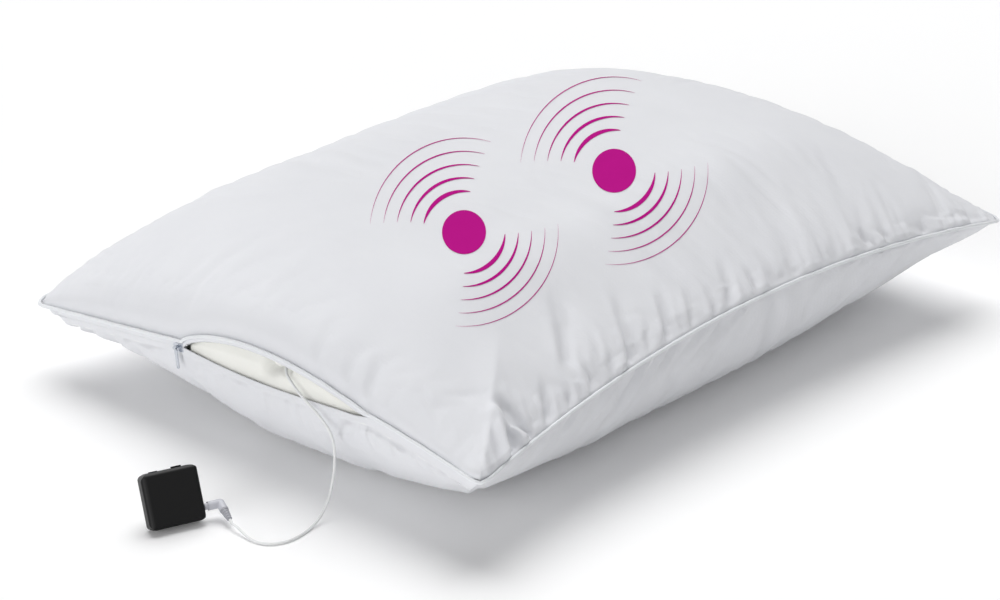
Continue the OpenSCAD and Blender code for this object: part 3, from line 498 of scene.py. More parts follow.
@dataclass(frozen=True)
class PillowForm:
    """The stuffed pillow's shape in millimetres, with the same sizes as the part's source."""

    half_length: float = 320.0
    half_width: float = 246.0
    crown: float = 90.0
    side_pinch: float = 20.0
    z_left: float = 57.0
    z_front: float = 66.0
    z_right: float = 73.0
    z_back: float = 64.0
    side_rise: float = 25.5
    end_rise: float = 21.5
    foot_in_x: float = 74.0
    foot_in_y: float = 95.0
    slider_y: float = 71.0
    z_slider: float = 79.0
    straight_end: float = 65.5
    mouth_length: float = 200.0
    lip_lift: float = 13.0
    lip_sag: float = 10.5
    end_swell: float = 15.5
    panel_drop: float = 11.2
    edge_drop: float = 1.2
    corner_turn: float = 12.0
    zip_short: float = 26.0
    ear_reach: tuple[float, ...] = (1.66, 3.0, 2.0, 2.5)
    ear_rise: tuple[float, ...] = (0.6, 1.8, 1.3, 1.3)
    ear_pull: tuple[float, ...] = (0.4, 0.1, 0.04, 0.05)
    ear_round: tuple[float, ...] = (15.0, 12.0, 8.0, 10.0)

    def end_line(self, y: float) -> float:
        """Returns the height of the zip seam at y.

        Args:
            y: Place across the pillow in millimetres.

        Returns:
            The height in millimetres.
        """
        slope = (self.z_slider - self.z_left) / (self.half_width - self.slider_y)
        if y >= self.straight_end:
            return self.z_slider + slope * (self.slider_y - y)
        top = self.z_slider + slope * (self.slider_y - self.straight_end)
        v = (self.straight_end - y) / (self.straight_end + self.half_width)
        return mix(top, self.z_front, v) + self.end_swell * math.sin(math.pi * v)

    def mouth(self, y: float) -> float:
        """Returns how far along the mouth y is, from 0 at the slider to 1 where it shuts."""
        return clamp((self.straight_end - y) / self.mouth_length)

    def lip_up(self, y: float) -> float:
        """Returns how far the upper lip lifts at y."""
        return self.lip_lift * math.sin(math.pi * self.mouth(y) ** 0.66)

    def lip_down(self, y: float) -> float:
        """Returns how far the lower lip sags at y."""
        return self.lip_sag * math.sin(math.pi * self.mouth(y) ** 0.95)

    def seam(self, s: float, t: float) -> float:
        """Returns the side seam's height, carried across the plan, for s and t from -1 to 1.

        Args:
            s: Place along the pillow, from -1 to 1.
            t: Place across it, from -1 to 1.

        Returns:
            The height in millimetres.
        """
        level = (self.z_front * (1 - s) * (1 - t) + self.z_right * (1 + s) * (1 - t)
                 + self.z_left * (1 - s) * (1 + t) + self.z_back * (1 + s) * (1 + t)) / 4
        end_level = (self.z_front * (1 - t) + self.z_left * (1 + t)) / 2
        # Towards the zip the seam leaves its plain arc and follows the zip's own line
        share = clamp((-s - 0.55) / 0.45) ** 2
        own = self.end_line(t * self.half_width) - end_level - self.end_rise * (1 - t * t)
        rise = self.side_rise * (1 - s * s) * t * t
        return level + rise + self.end_rise * (1 - t * t) * s * s + own * share

    def swell(self, s: float, t: float) -> float:
        """Returns the crown's share of its full height at s and t.

        Args:
            s: Place along the pillow, from -1 to 1.
            t: Place across it, from -1 to 1.

        Returns:
            The share, from 0 at the seam to 1 in the middle.
        """
        # The powers shape the shoulders: firm at the zip, softer at the far end, long at the front
        m, p = (3.5, 0.45) if s < 0 else (3.5, 0.56)
        n, q = (1.8, 0.73) if t < 0 else (2.5, 0.53)
        return max(1 - abs(s) ** m, 0) ** p * max(1 - abs(t) ** n, 0) ** q

    def plan(self, s: float, t: float, inset: float = 0.0) -> tuple[float, float]:
        """Returns the plan position of s and t, drawn in by inset, with the corners rounded off.

        Args:
            s: Place along the pillow, from -1 to 1.
            t: Place across it, from -1 to 1.
            inset: How far inside the seam, in millimetres.

        Returns:
            The place x and y in millimetres.
        """
        x, y = s * (self.half_length - inset), t * (self.half_width - inset - self.side_pinch * (1 - s * s))
        r = self.ear_round[self.corner(s, t)]
        dx, dy = abs(x) - self.half_length + inset + r, abs(y) - self.half_width + inset + r
        if dx <= 0 or dy <= 0:
            return (x, y)
        k = 1 - max(dx, dy) / math.hypot(dx, dy)
        return (x - math.copysign(dx * k, x), y - math.copysign(dy * k, y))

    def corner(self, s: float, t: float) -> Corner:
        """Returns the corner that a place lies nearest.

        Args:
            s: Place along the pillow, from -1 to 1.
            t: Place across it, from -1 to 1.

        Returns:
            The corner.
        """
        if s < 0:
            return Corner.ZIP_SHUT if t > 0 else Corner.FRONT
        return Corner.RIGHT if t < 0 else Corner.BACK

    def top(self, s: float, t: float) -> Vector:
        """Returns the upper panel's point at s and t, in millimetres.

        Args:
            s: Place along the pillow, from -1 to 1.
            t: Place across it, from -1 to 1.

        Returns:
            The point in millimetres.
        """
        x, y = self.plan(s, t)
        lift = self.lip_up(t * self.half_width) * clamp((-s - 0.8) / 0.2) ** 2
        return Vector((x, y, self.seam(s, t) + lift + self.crown * self.swell(s, t)))

    def panel_edge(self, s: float, t: float) -> float:
        """Returns the height of the lower panel's edge at a point of the square edge.

        Args:
            s: Place along the pillow, on the square edge.
            t: Place across it, on the square edge.

        Returns:
            The height in millimetres.
        """
        if s > -0.9999:
            return self.seam(s, t) - self.edge_drop
        y = t * self.half_width
        turn = smooth(min(self.half_width - self.zip_short - y, self.half_width + y) / self.corner_turn)
        return self.end_line(y) - mix(self.edge_drop, self.panel_drop, turn) - self.lip_down(y)

    def belly(self, s: float, t: float, f: float, inset: float, floor: float, top: float) -> Vector:
        """Returns a point of an under side.

        Args:
            s: Place along the pillow, on the square edge.
            t: Place across it, on the square edge.
            f: Share of the way out from the resting patch to the seam.
            inset: How far the bag lies inside the cover.
            floor: Height of the resting patch.
            top: Height at the seam.

        Returns:
            The point in millimetres.
        """
        bx, by = self.plan(s, t, inset)
        corner = self.corner(s, t)
        ear = (abs(s) * abs(t)) ** self.ear_reach[corner]
        k = (1 - self.ear_pull[corner] * ear) / (abs(s) ** 5 + abs(t) ** 5) ** 0.2
        cx, cy = (self.half_length - self.foot_in_x) * s * k, (self.half_width - self.foot_in_y) * t * k
        rise = mix(1 - math.sqrt(max(1 - f * f, 0)), f ** self.ear_rise[corner], ear)
        return Vector((mix(cx, bx, f), mix(cy, by, f), mix(floor, top, rise)))

    def under(self, u: float, v: float, rest: float = 0.5) -> Vector:
        """Returns the lower panel's point for u and v from -1 to 1.

        Args:
            u: Place along the pillow.
            v: Place across it.
            rest: Share of the square that lies flat on the floor.

        Returns:
            The point in millimetres.
        """
        rho = max(abs(u), abs(v))
        if rho < TINY:
            return Vector((0, 0, 0))
        s, t = u / rho, v / rho
        if rho <= rest:
            return self.belly(s, t, 0.0, 0.0, 0.0, 0.0) * (rho / rest)
        f = math.sin(math.pi / 2 * (rho - rest) / (1 - rest))
        return self.belly(s, t, f, 0.0, 0.0, self.panel_edge(s, t))


@dataclass(frozen=True)
class Fold:
    """One crease in the cloth, from its deep end to where it runs out, in millimetres."""

    start: tuple[float, float, float]
    end: tuple[float, float, float]
    width: float
    depth: float
    lean: float = 0.5
    before: float = 0.25
    beyond: float = 1.1

    def height(self, point: Vector, normal: Vector) -> float:
        """Returns how far the cloth moves along its normal at a point.

        Args:
            point: A point on the cloth, in millimetres.
            normal: The cloth's outward normal there.

        Returns:
            The move outwards in millimetres.
        """
        a, b = Vector(self.start), Vector(self.end)
        run = b - a
        length = run.length
        run /= length
        away = point - a
        along = away.dot(run) / length
        if along < -self.before or along > self.beyond:
            return 0.0
        side = away.dot(normal.cross(run))
        reach = self.width * mix(0.7, 1.25, clamp(along))
        if abs(side) > 3.2 * reach:
            return 0.0
        e = side / reach
        taper = smooth((along + self.before) / self.before) * smooth((self.beyond - along) / 0.8)
        crest = 0.4 * math.exp(-e * e) + 0.6 * math.exp(-1.6 * abs(e))
        return self.depth * taper * (self.lean * e * 1.65 * math.exp(-e * e) - (1 - self.lean) * crest)


@dataclass(frozen=True)
class Slack:
    """The folds that a panel's own slack makes, found by simulation on a coarser grid."""

    columns: int
    rows: int
    steps: dict[tuple[int, int], Vector]

    def at(self, u: float, v: float) -> Vector:
        """Returns the cloth's move at a place of the grid.

        Args:
            u: Place across the grid, from -1 to 1.
            v: Place up the grid, from -1 to 1.

        Returns:
            The move in millimetres, none where nothing was simulated.
        """
        if not self.steps:
            return Vector((0, 0, 0))
        x, y = (u + 1) / 2 * self.columns, (v + 1) / 2 * self.rows
        i, j = min(int(x), self.columns - 1), min(int(y), self.rows - 1)
        low = self.steps[i, j].lerp(self.steps[i + 1, j], x - i)
        return low.lerp(self.steps[i, j + 1].lerp(self.steps[i + 1, j + 1], x - i), y - j)


@dataclass
class Cover:
    """The two cotton panels with their folds, and the corded piping between them."""

    form: PillowForm
    finishes: Finishes
    columns: int = 236
    rows: int = 180
    sim_columns: int = 150
    sim_rows: int = 116
    cloth_t: float = 0.35
    piping_r: float = 1.45
    piping_out: float = 2.1
    tuck: float = 0.9
    hem_start: float = 0.965
    hem_out: float = 1.0
    hem_gap: float = 5.4
    hem_overlap: float = 0.25
    hem_short: float = 1.0
    shoulder_rise: float = 8.0
    crease_floor: float = 2.4
    stop_y: float = 206.0
    stop_z: float = 55.5
    stop_bulge: float = 0.9
    slope_room: float = 8.0
    slack_gain: float = 0.65
    gather_mm: float = 8.0
    gathers: dict[str, float] = field(default_factory=lambda: {
        "front": 5.0, "back": 2.0, "far_end": 2.0, "zip_end": 0.8, "under": 3.6, "under_back": 1.5})
    corner_lift: float = 4.0
    fold_gain: float = 1.6
    top_folds: tuple[Fold, ...] = (
        Fold((-319, -245, 68), (-205, -158, 128), 11.0, -4.0, 0.0),
        Fold((-284, -241, 76), (-262, -206, 101), 7.0, 7.0, 0.9),
        Fold((-262, -240, 77), (-268, -208, 99), 6.0, 7.5, 0.9),
        Fold((-240, -236, 80), (-214, -206, 105), 5.0, 4.0),
        Fold((-236, -236, 80), (-224, -200, 108), 4.0, 2.0),
        Fold((-186, -204, 108), (-140, -148, 133), 10.0, 5.0),
        Fold((-211, -236, 81), (-206, -220, 96), 3.5, 2.6),
        Fold((-183, -232, 86), (-175, -212, 103), 4.5, 3.2),
        Fold((-162, -230, 89), (-154, -214, 102), 3.5, 2.6),
        Fold((-140, -228, 91), (-96, -172, 127), 6.5, 5.0),
        Fold((-128, -228, 92), (-114, -206, 109), 3.8, 3.0),
        Fold((-115, -227, 93), (-104, -210, 107), 3.5, 2.6),
        Fold((-94, -225, 95), (-58, -184, 122), 5.5, 4.6),
        Fold((-66, -226, 95), (-38, -194, 118), 5.0, 2.6),
        Fold((-18, -226, 97), (16, -184, 124), 7.0, 3.8),
        Fold((16, -226, 97), (22, -204, 115), 4.5, 2.6),
        Fold((60, -228, 97), (84, -194, 120), 6.0, 1.6),
        Fold((166, -231, 91), (150, -210, 107), 5.0, 2.8),
        Fold((188, -233, 89), (170, -216, 101), 4.0, 2.2),
        Fold((312, -244, 75), (236, -222, 97), 6.0, 1.4),
        Fold((-319, -133, 86), (-296, -122, 120), 6.0, 2.4),
        Fold((-319, -112, 96), (-300, -100, 124), 6.0, 1.6),
        Fold((-319, -80, 104), (-304, -72, 126), 6.0, 1.4),
    )
    under_folds: tuple[Fold, ...] = (
        Fold((6, -227, 96), (-48, -222, 62), 6.0, 4.0),
        Fold((-9, -227, 95), (-68, -221, 58), 5.0, 3.4),
        Fold((-44, -228, 93), (-92, -221, 60), 6.0, 2.4),
        Fold((-76, -228, 92), (-118, -222, 56), 5.0, 3.4),
        Fold((-98, -229, 90), (-132, -220, 46), 5.0, 3.4),
        Fold((-120, -230, 87), (-160, -214, 36), 6.5, 4.6),
        Fold((-164, -232, 84), (-196, -222, 48), 5.5, 3.4),
        Fold((-204, -236, 79), (-226, -228, 52), 5.0, 3.0),
        Fold((-240, -238, 75), (-256, -226, 44), 6.0, 2.4),
        Fold((40, -228, 97), (-8, -222, 66), 7.0, 1.8),
        Fold((120, -230, 94), (84, -224, 66), 7.0, 1.6),
        Fold((-320, -118, 71), (-316, -104, 46), 5.0, -3.0),
        Fold((-320, -131, 73), (-314, -134, 46), 5.0, 3.0),
        Fold((-320, -100, 66), (-316, -98, 52), 7.0, 2.0, 0.0),
        Fold((-320, -157, 70), (-317, -160, 54), 3.5, 1.8),
        Fold((-320, -178, 66), (-317, -183, 54), 3.5, 1.6),
        Fold((-318, 196, 56), (-270, 176, 36), 6.0, 3.0),
        Fold((-318, 180, 58), (-290, 166, 36), 5.0, 2.4),
        Fold((-320, 150, 58), (-308, 150, 38), 5.0, 1.8),
        Fold((-320, 120, 62), (-312, 118, 42), 5.0, 1.4),
    )

    def seam_gathers(self, edge: float, along: float, slant: float, amount: float) -> float:
        """Returns the small gathers that a sewn seam draws in the cloth.

        Args:
            edge: Distance from the seam in millimetres.
            along: Distance along the seam.
            slant: How far the gathers lean for each millimetre from the seam.
            amount: The greatest height in millimetres.

        Returns:
            The move outwards in millimetres.
        """
        reach = 11 + 12 * noise.noise(Vector((along / 45, 3.1, 0)))
        fade = math.exp(-edge / max(reach, 4)) * smooth(edge / 2.5)
        across = along + slant * edge
        wave = 0.3 - abs(noise.noise(Vector((across / self.gather_mm, edge / 60, 7.7))))
        wide = noise.noise(Vector((across / (3 * self.gather_mm), edge / 90, 1.3)))
        return amount * fade * (1.6 * wave + 1.3 * wide)

    def shoulder(self, p: Vector) -> float:
        """Returns the rise of the firm shoulder over the front seam at a point, in millimetres."""
        along = smooth((p.x + 275) / 90) * smooth((270 - p.x) / 130)
        return along * self.shoulder_rise * math.exp(-(((p.y + 118) / 42) ** 2))

    def top_push(self, p: Vector, normal: Vector, s: float, t: float) -> float:
        """Returns how far folds, gathers and unevenness move the upper panel.

        Args:
            p: The panel's point in millimetres.
            normal: Its outward normal.
            s: Its place along the pillow, from -1 to 1.
            t: Its place across it, from -1 to 1.

        Returns:
            The move along the normal in millimetres.
        """
        front, back = (1 + t) * 240, (1 - t) * 240
        zip_end, far_end = (1 + s) * 320, (1 - s) * 320
        edge = min(front, back, zip_end, far_end)
        push = self.fold_gain * sum(fold.height(p, normal) for fold in self.top_folds) * smooth(edge / 3)
        push += self.seam_gathers(front, p.x, -0.6, self.gathers["front"])
        push += self.seam_gathers(back, p.x + 900, 0.3, self.gathers["back"])
        push += self.seam_gathers(far_end, p.y + 300, 0.2, self.gathers["far_end"])
        push += self.seam_gathers(zip_end, p.y + 1700, 0.1, self.gathers["zip_end"])
        push += self.shoulder(p)
        # Broad swells and a finer unrest keep the crown from looking like a plain dome
        calm = smooth(edge / 20)
        push += calm * 1.8 * noise.noise(p / 95)
        push += calm * 1.0 * noise.noise(Vector((p.x / 30, p.y / 55, 4.0)))
        return push

    def seam_step(self, s: float, t: float) -> Vector:
        """Returns the small step outwards that tucks the upper panel's edge under the piping.

        Args:
            s: Place along the pillow, from -1 to 1.
            t: Place across it, from -1 to 1.

        Returns:
            The step in millimetres.
        """
        near_s, near_t = (clamp((abs(c) - 0.98) / 0.02) for c in (s, t))
        return Vector((math.copysign(self.tuck * near_s, s), math.copysign(self.tuck * near_t, t),
                       0.5 * max(near_s, near_t)))

    def top_grid(self, columns: int, rows: int, slack: Slack | None = None) -> tuple[bmesh.types.BMesh, dict]:
        """Lays a grid over the stuffed form and folds it.

        Args:
            columns: The grid's stretches along the pillow.
            rows: Its stretches across it.
            slack: The folds that the simulation found, if it has run.

        Returns:
            The mesh in millimetres, and each point's place on the square grid.
        """
        form = self.form
        bm = bmesh.new()
        bmesh.ops.create_grid(bm, x_segments=columns, y_segments=rows, size=1.0)
        grid = {vert: tuple(vert.co.xy) for vert in bm.verts}
        places = {vert: (crowd(u, 0.12), crowd(v, 0.27)) for vert, (u, v) in grid.items()}
        for vert, (s, t) in places.items():
            vert.co = form.top(s, t)
        map_cloth(bm, bm.faces, lambda vert: on_cut(*places[vert]))
        bm.normal_update()
        moves = {}
        for vert, (s, t) in places.items():
            moves[vert] = (vert.normal * self.top_push(vert.co, vert.normal, s, t), self.seam_step(s, t))
        for vert, (u, v) in grid.items():
            push, out = moves[vert]
            push += slack.at(u, v) * self.slack_gain if slack else Vector()
            # The stuffing stops a crease from going deeper, and there is more room where the side falls away
            sunk = min(push.dot(vert.normal) + self.crease_floor + self.slope_room * (1 - vert.normal.z), 0.0)
            vert.co += push - vert.normal * sunk + out
        return bm, grid

    def top_panel(self) -> bpy.types.Object:
        """Builds the upper panel: a coarse copy settles, and the fine one takes its folds.

        Returns:
            The finished panel.
        """
        slack = self.settle(*self.top_grid(self.sim_columns, self.sim_rows), floor=-1.0)
        bm, _ = self.top_grid(self.columns, self.rows, slack)
        self.upper_hem(bm)
        return self.finish("cover_top_cloth", bm, "cover_top_panel")

    def hem_depth(self, y: float) -> float:
        """Returns how far below the seam the two hems meet at y.

        Args:
            y: Place across the pillow in millimetres.

        Returns:
            The depth in millimetres.
        """
        closed_end = self.form.half_width - self.form.zip_short + 1
        shut = max(smooth((-118 - y) / 34), smooth((y - closed_end) / 9))
        return mix(self.hem_gap, 0.8, shut)

    def upper_hem(self, bm: bmesh.types.BMesh) -> None:
        """Adds the narrow fold of cloth that hangs over the upper row of teeth.

        Args:
            bm: The upper panel's mesh, in millimetres.
        """
        form = self.form
        start, end = form.half_width - 12.0, -150.0
        verts = bmesh.ops.create_grid(bm, x_segments=180, y_segments=4, size=1.0)["verts"]
        faces = {face for vert in verts for face in vert.link_faces}
        for vert in verts:
            y = mix(start, end, (vert.co.x + 1) / 2)
            k = (1 - vert.co.y) / 2
            short = self.hem_short * smooth(form.lip_up(y) / 4)
            z = form.end_line(y) + form.lip_up(y) - 0.3 - max(self.hem_depth(y) - short - 0.3, 0.1) * k
            ripple = 0.25 * noise.noise(Vector((y / 13, k, 5.0))) * k
            out = mix(0.4, self.hem_out, smooth(2 * k)) + 0.3 * k * k
            vert.co = Vector((-form.half_length - out, y, z + ripple))
        map_cloth(bm, faces, lambda vert: (vert.co.y * MM, vert.co.z * MM))
        bmesh.ops.recalc_face_normals(bm, faces=list(faces))
        if sum(face.normal.x for face in faces) > 0:
            bmesh.ops.reverse_faces(bm, faces=list(faces))

    def hem_top(self, y: float) -> float:
        """Returns the height of the lower hem's edge at y."""
        return self.form.end_line(y) - self.form.lip_down(y) - self.hem_depth(y) + self.hem_overlap

    def bottom_place(self, u: float, v: float) -> Vector:
        """Returns the lower panel's point before it is folded, with the hem along its edge.

        Args:
            u: Place along the pillow, from -1 to 1.
            v: Place across it, from -1 to 1.

        Returns:
            The point in millimetres.
        """
        form = self.form
        rho = max(abs(u), abs(v))
        if rho <= self.hem_start:
            spot = form.under(u / self.hem_start, v / self.hem_start)
            if u < -0.5 and v < 0 and abs(u) > abs(v):
                # Under the front corner the zip holds the cloth up
                t = v / rho
                near = smooth((-t - 0.84) / 0.08) * smooth((1 + t) / 0.04)
                band = smooth((rho - 0.68) / 0.15) * smooth((self.hem_start - rho) / 0.04)
                spot.z += self.corner_lift * near * band
            return spot
        h = (rho - self.hem_start) / (1 - self.hem_start)
        s, t = u / rho, v / rho
        low = form.under(s, t)
        if s < -0.999:
            y = low.y
            return Vector((low.x - self.hem_out * smooth(2.5 * h), y, mix(low.z, self.hem_top(y), h)))
        x, y = form.plan(s, t, -self.tuck)
        return low.lerp(Vector((x, y, form.seam(s, t) - 0.5)), h)

    def bottom_push(self, p: Vector, normal: Vector, u: float, v: float) -> float:
        """Returns how far folds, gathers and unevenness move the lower panel.

        Args:
            p: The panel's point in millimetres.
            normal: Its outward normal.
            u: Its place along the pillow, from -1 to 1.
            v: Its place across it, from -1 to 1.

        Returns:
            The move along the normal in millimetres.
        """
        rho = max(abs(u), abs(v))
        edge = max(self.hem_start - rho, 0) * 280
        inside = smooth(edge / 3)
        push = self.fold_gain * sum(fold.height(p, normal) for fold in self.under_folds)
        push *= mix(0.25, 1, inside)
        along = p.x if abs(v) > abs(u) else p.y + 700
        slant = 0.9 if v < 0 and abs(v) > abs(u) else 0.1
        beside_ear = smooth((1 - min(abs(u), abs(v)) / max(rho, TINY)) / 0.24)
        amount = self.gathers["under_back" if v > abs(u) else "under"]
        push += self.seam_gathers(edge, along, slant, amount) * mix(0.15, 1, beside_ear)
        return push + inside * 1.4 * noise.noise(p / 70)

    def bottom_grid(self, columns: int, rows: int) -> tuple[bmesh.types.BMesh, dict]:
        """Lays a grid under the stuffed form, flat where the pillow rests, and folds it.

        Args:
            columns: The grid's stretches along the pillow.
            rows: Its stretches across it.

        Returns:
            The mesh in millimetres, and each point's place on the square grid.
        """
        bm = bmesh.new()
        bmesh.ops.create_grid(bm, x_segments=columns, y_segments=rows, size=1.0)
        bmesh.ops.reverse_faces(bm, faces=bm.faces)
        grid = {vert: tuple(vert.co.xy) for vert in bm.verts}
        places = {vert: (crowd(u, 0.12), crowd(v, 0.12)) for vert, (u, v) in grid.items()}
        for vert, (u, v) in places.items():
            vert.co = self.bottom_place(u, v)
        map_cloth(bm, bm.faces, lambda vert: on_cut(*places[vert]))
        bm.normal_update()
        moves = {}
        for vert, (u, v) in places.items():
            off_floor = smooth((vert.co.z - 4) / 14)
            moves[vert] = vert.normal * self.bottom_push(vert.co, vert.normal, u, v) * off_floor
        for vert, step in moves.items():
            vert.co += step
            if vert.co.x < -self.form.half_length + 6:
                # The hem bulges over the metal stop at the closed end of the zip
                past = ((vert.co.y - self.stop_y) / 10) ** 2 + ((vert.co.z - self.stop_z) / 4.5) ** 2
                vert.co.x -= self.stop_bulge * math.exp(-past)
        return bm, grid

    def bottom_panel(self) -> bpy.types.Object:
        """Builds the lower panel: a coarse copy settles, and the fine one takes its folds.

        Returns:
            The finished panel.
        """
        slack = self.settle(*self.bottom_grid(self.sim_columns, self.sim_rows), floor=1.5)
        bm, grid = self.bottom_grid(self.columns, self.rows)
        for vert, (u, v) in grid.items():
            vert.co += slack.at(u, v) * self.slack_gain
        LOG.info("lower panel: lowest point %.1f mm", min(vert.co.z for vert in bm.verts))
        return self.finish("cover_bottom_cloth", bm, "cover_bottom_panel")

    def settle(self, bm: bmesh.types.BMesh, grid: dict, floor: float, frames: int = 18, growth: float = 0.025,
               limit: float = 5.0) -> Slack:
        """Lets a panel settle by simulation, so that its slack buckles into folds of its own.

        The cloth is a little larger than the form, as a sewn panel is. Its broad swelling is taken
        off again, and only the folds are kept. The seam and the floor hold it.

        Args:
            bm: The folded panel in millimetres. It is freed.
            grid: Each point to its place on the square grid.
            floor: The height in millimetres below which a point lies still.
            frames: How many frames the simulation runs.
            growth: How much larger than the form the cloth is cut.
            limit: The furthest a point may move, in millimetres.

        Returns:
            The folds, as moves over the grid.
        """
        held = {vert: max(abs(u), abs(v)) > 0.955 or vert.co.z < floor for vert, (u, v) in grid.items()}
        steps = self.simulate(bm, held, frames, growth)
        broad = dict(steps)
        for _ in range(8):
            broad = {vert: sum((broad[edge.other_vert(vert)] for edge in vert.link_edges), Vector())
                     / len(vert.link_edges) for vert in broad}
        kept = {}
        for vert, (u, v) in grid.items():
            fine = Vector((0, 0, 0)) if held[vert] else steps[vert] - broad[vert]
            fine *= min(1.0, limit / max(fine.length, TINY))
            kept[round((u + 1) / 2 * self.sim_columns), round((v + 1) / 2 * self.sim_rows)] = fine
        LOG.info("settled: folds up to %.1f mm", max(step.length for step in kept.values()))
        bm.free()
        return Slack(self.sim_columns, self.sim_rows, kept)

    def simulate(self, bm: bmesh.types.BMesh, held: dict, frames: int, growth: float) -> dict:
        """Runs the cloth simulation on one panel.

        Args:
            bm: The panel in millimetres.
            held: Each point to whether it lies still.
            frames: How many frames it runs.
            growth: How much larger than the form the cloth is cut.

        Returns:
            Each point to its move in millimetres.
        """
        mesh = bpy.data.meshes.new("settling")
        bm.to_mesh(mesh)
        mesh.transform(Matrix.Scale(MM, 4))
        obj = link("settling", mesh)
        pins = obj.vertex_groups.new(name="held")
        bm.verts.index_update()
        pins.add([vert.index for vert in bm.verts if held[vert]], 1.0, "REPLACE")
        cloth = obj.modifiers.new("cloth", "CLOTH")
        # A light, crisp cotton, blown up softly from inside and with no weight
        values = {"quality": 5, "mass": 0.15, "tension_stiffness": 25, "compression_stiffness": 25,
                  "shear_stiffness": 8, "bending_stiffness": 0.08, "air_damping": 2.0, "shrink_min": -growth,
                  "shrink_max": -growth, "use_pressure": True, "uniform_pressure_force": 4.0,
                  "vertex_group_mass": "held"}
        for key, value in values.items():
            setattr(cloth.settings, key, value)
        cloth.settings.effector_weights.gravity = 0.0
        cloth.collision_settings.use_collision = False
        cloth.point_cache.frame_end = frames
        scene = bpy.context.scene
        for frame_number in range(1, frames + 1):
            scene.frame_set(frame_number)
        settled = obj.evaluated_get(bpy.context.evaluated_depsgraph_get())
        steps = {vert: Vector(settled.data.vertices[vert.index].co) / MM - vert.co for vert in bm.verts}
        scene.frame_set(1)
        bpy.data.objects.remove(obj)
        return steps

    def finish(self, name: str, bm: bmesh.types.BMesh, replaced: str) -> bpy.types.Object:
        """Args:
            name: The panel's name.
            bm: Its mesh in millimetres. It is freed.
            replaced: The CAD node it stands for.

        Returns:
            The finished panel.
        """
        for vert in bm.verts:
            vert.co = vert.co * MM
            vert.co.z = max(vert.co.z, 0.0)
        obj = make_piece(name, bm, self.finishes.cotton, replaced)
        solid = obj.modifiers.new("thickness", "SOLIDIFY")
        solid.thickness = self.cloth_t * MM
        solid.offset = -1.0
        return obj

    def piping(self) -> bpy.types.Object:
        """Builds the corded piping round the whole seam.

        Returns:
            The finished piping.
        """
        points = []
        for side, count in enumerate((240, 300, 220, 240)):
            for i in range(count):
                k = i / count
                s, t = ((-1, 1 - 2 * k), (2 * k - 1, -1), (1, 2 * k - 1), (1 - 2 * k, 1))[side]
                x, y = self.form.plan(s, t, -self.piping_out)
                z = self.form.top(s, t).z
                wobble = 0.35 * noise.noise(Vector((x / 14, y / 14, 9.0)))
                points.append(Vector((x, y, z + wobble)) * MM)
        bm = tube_mesh(points, self.piping_r * MM)
        return make_piece("cover_piping_cord", bm, self.finishes.piping, "cover_piping")

    def build(self) -> bpy.types.Object:
        """Builds the cover and returns its upper panel."""
        top = self.top_panel()
        self.bottom_panel()
        self.piping()
        return top


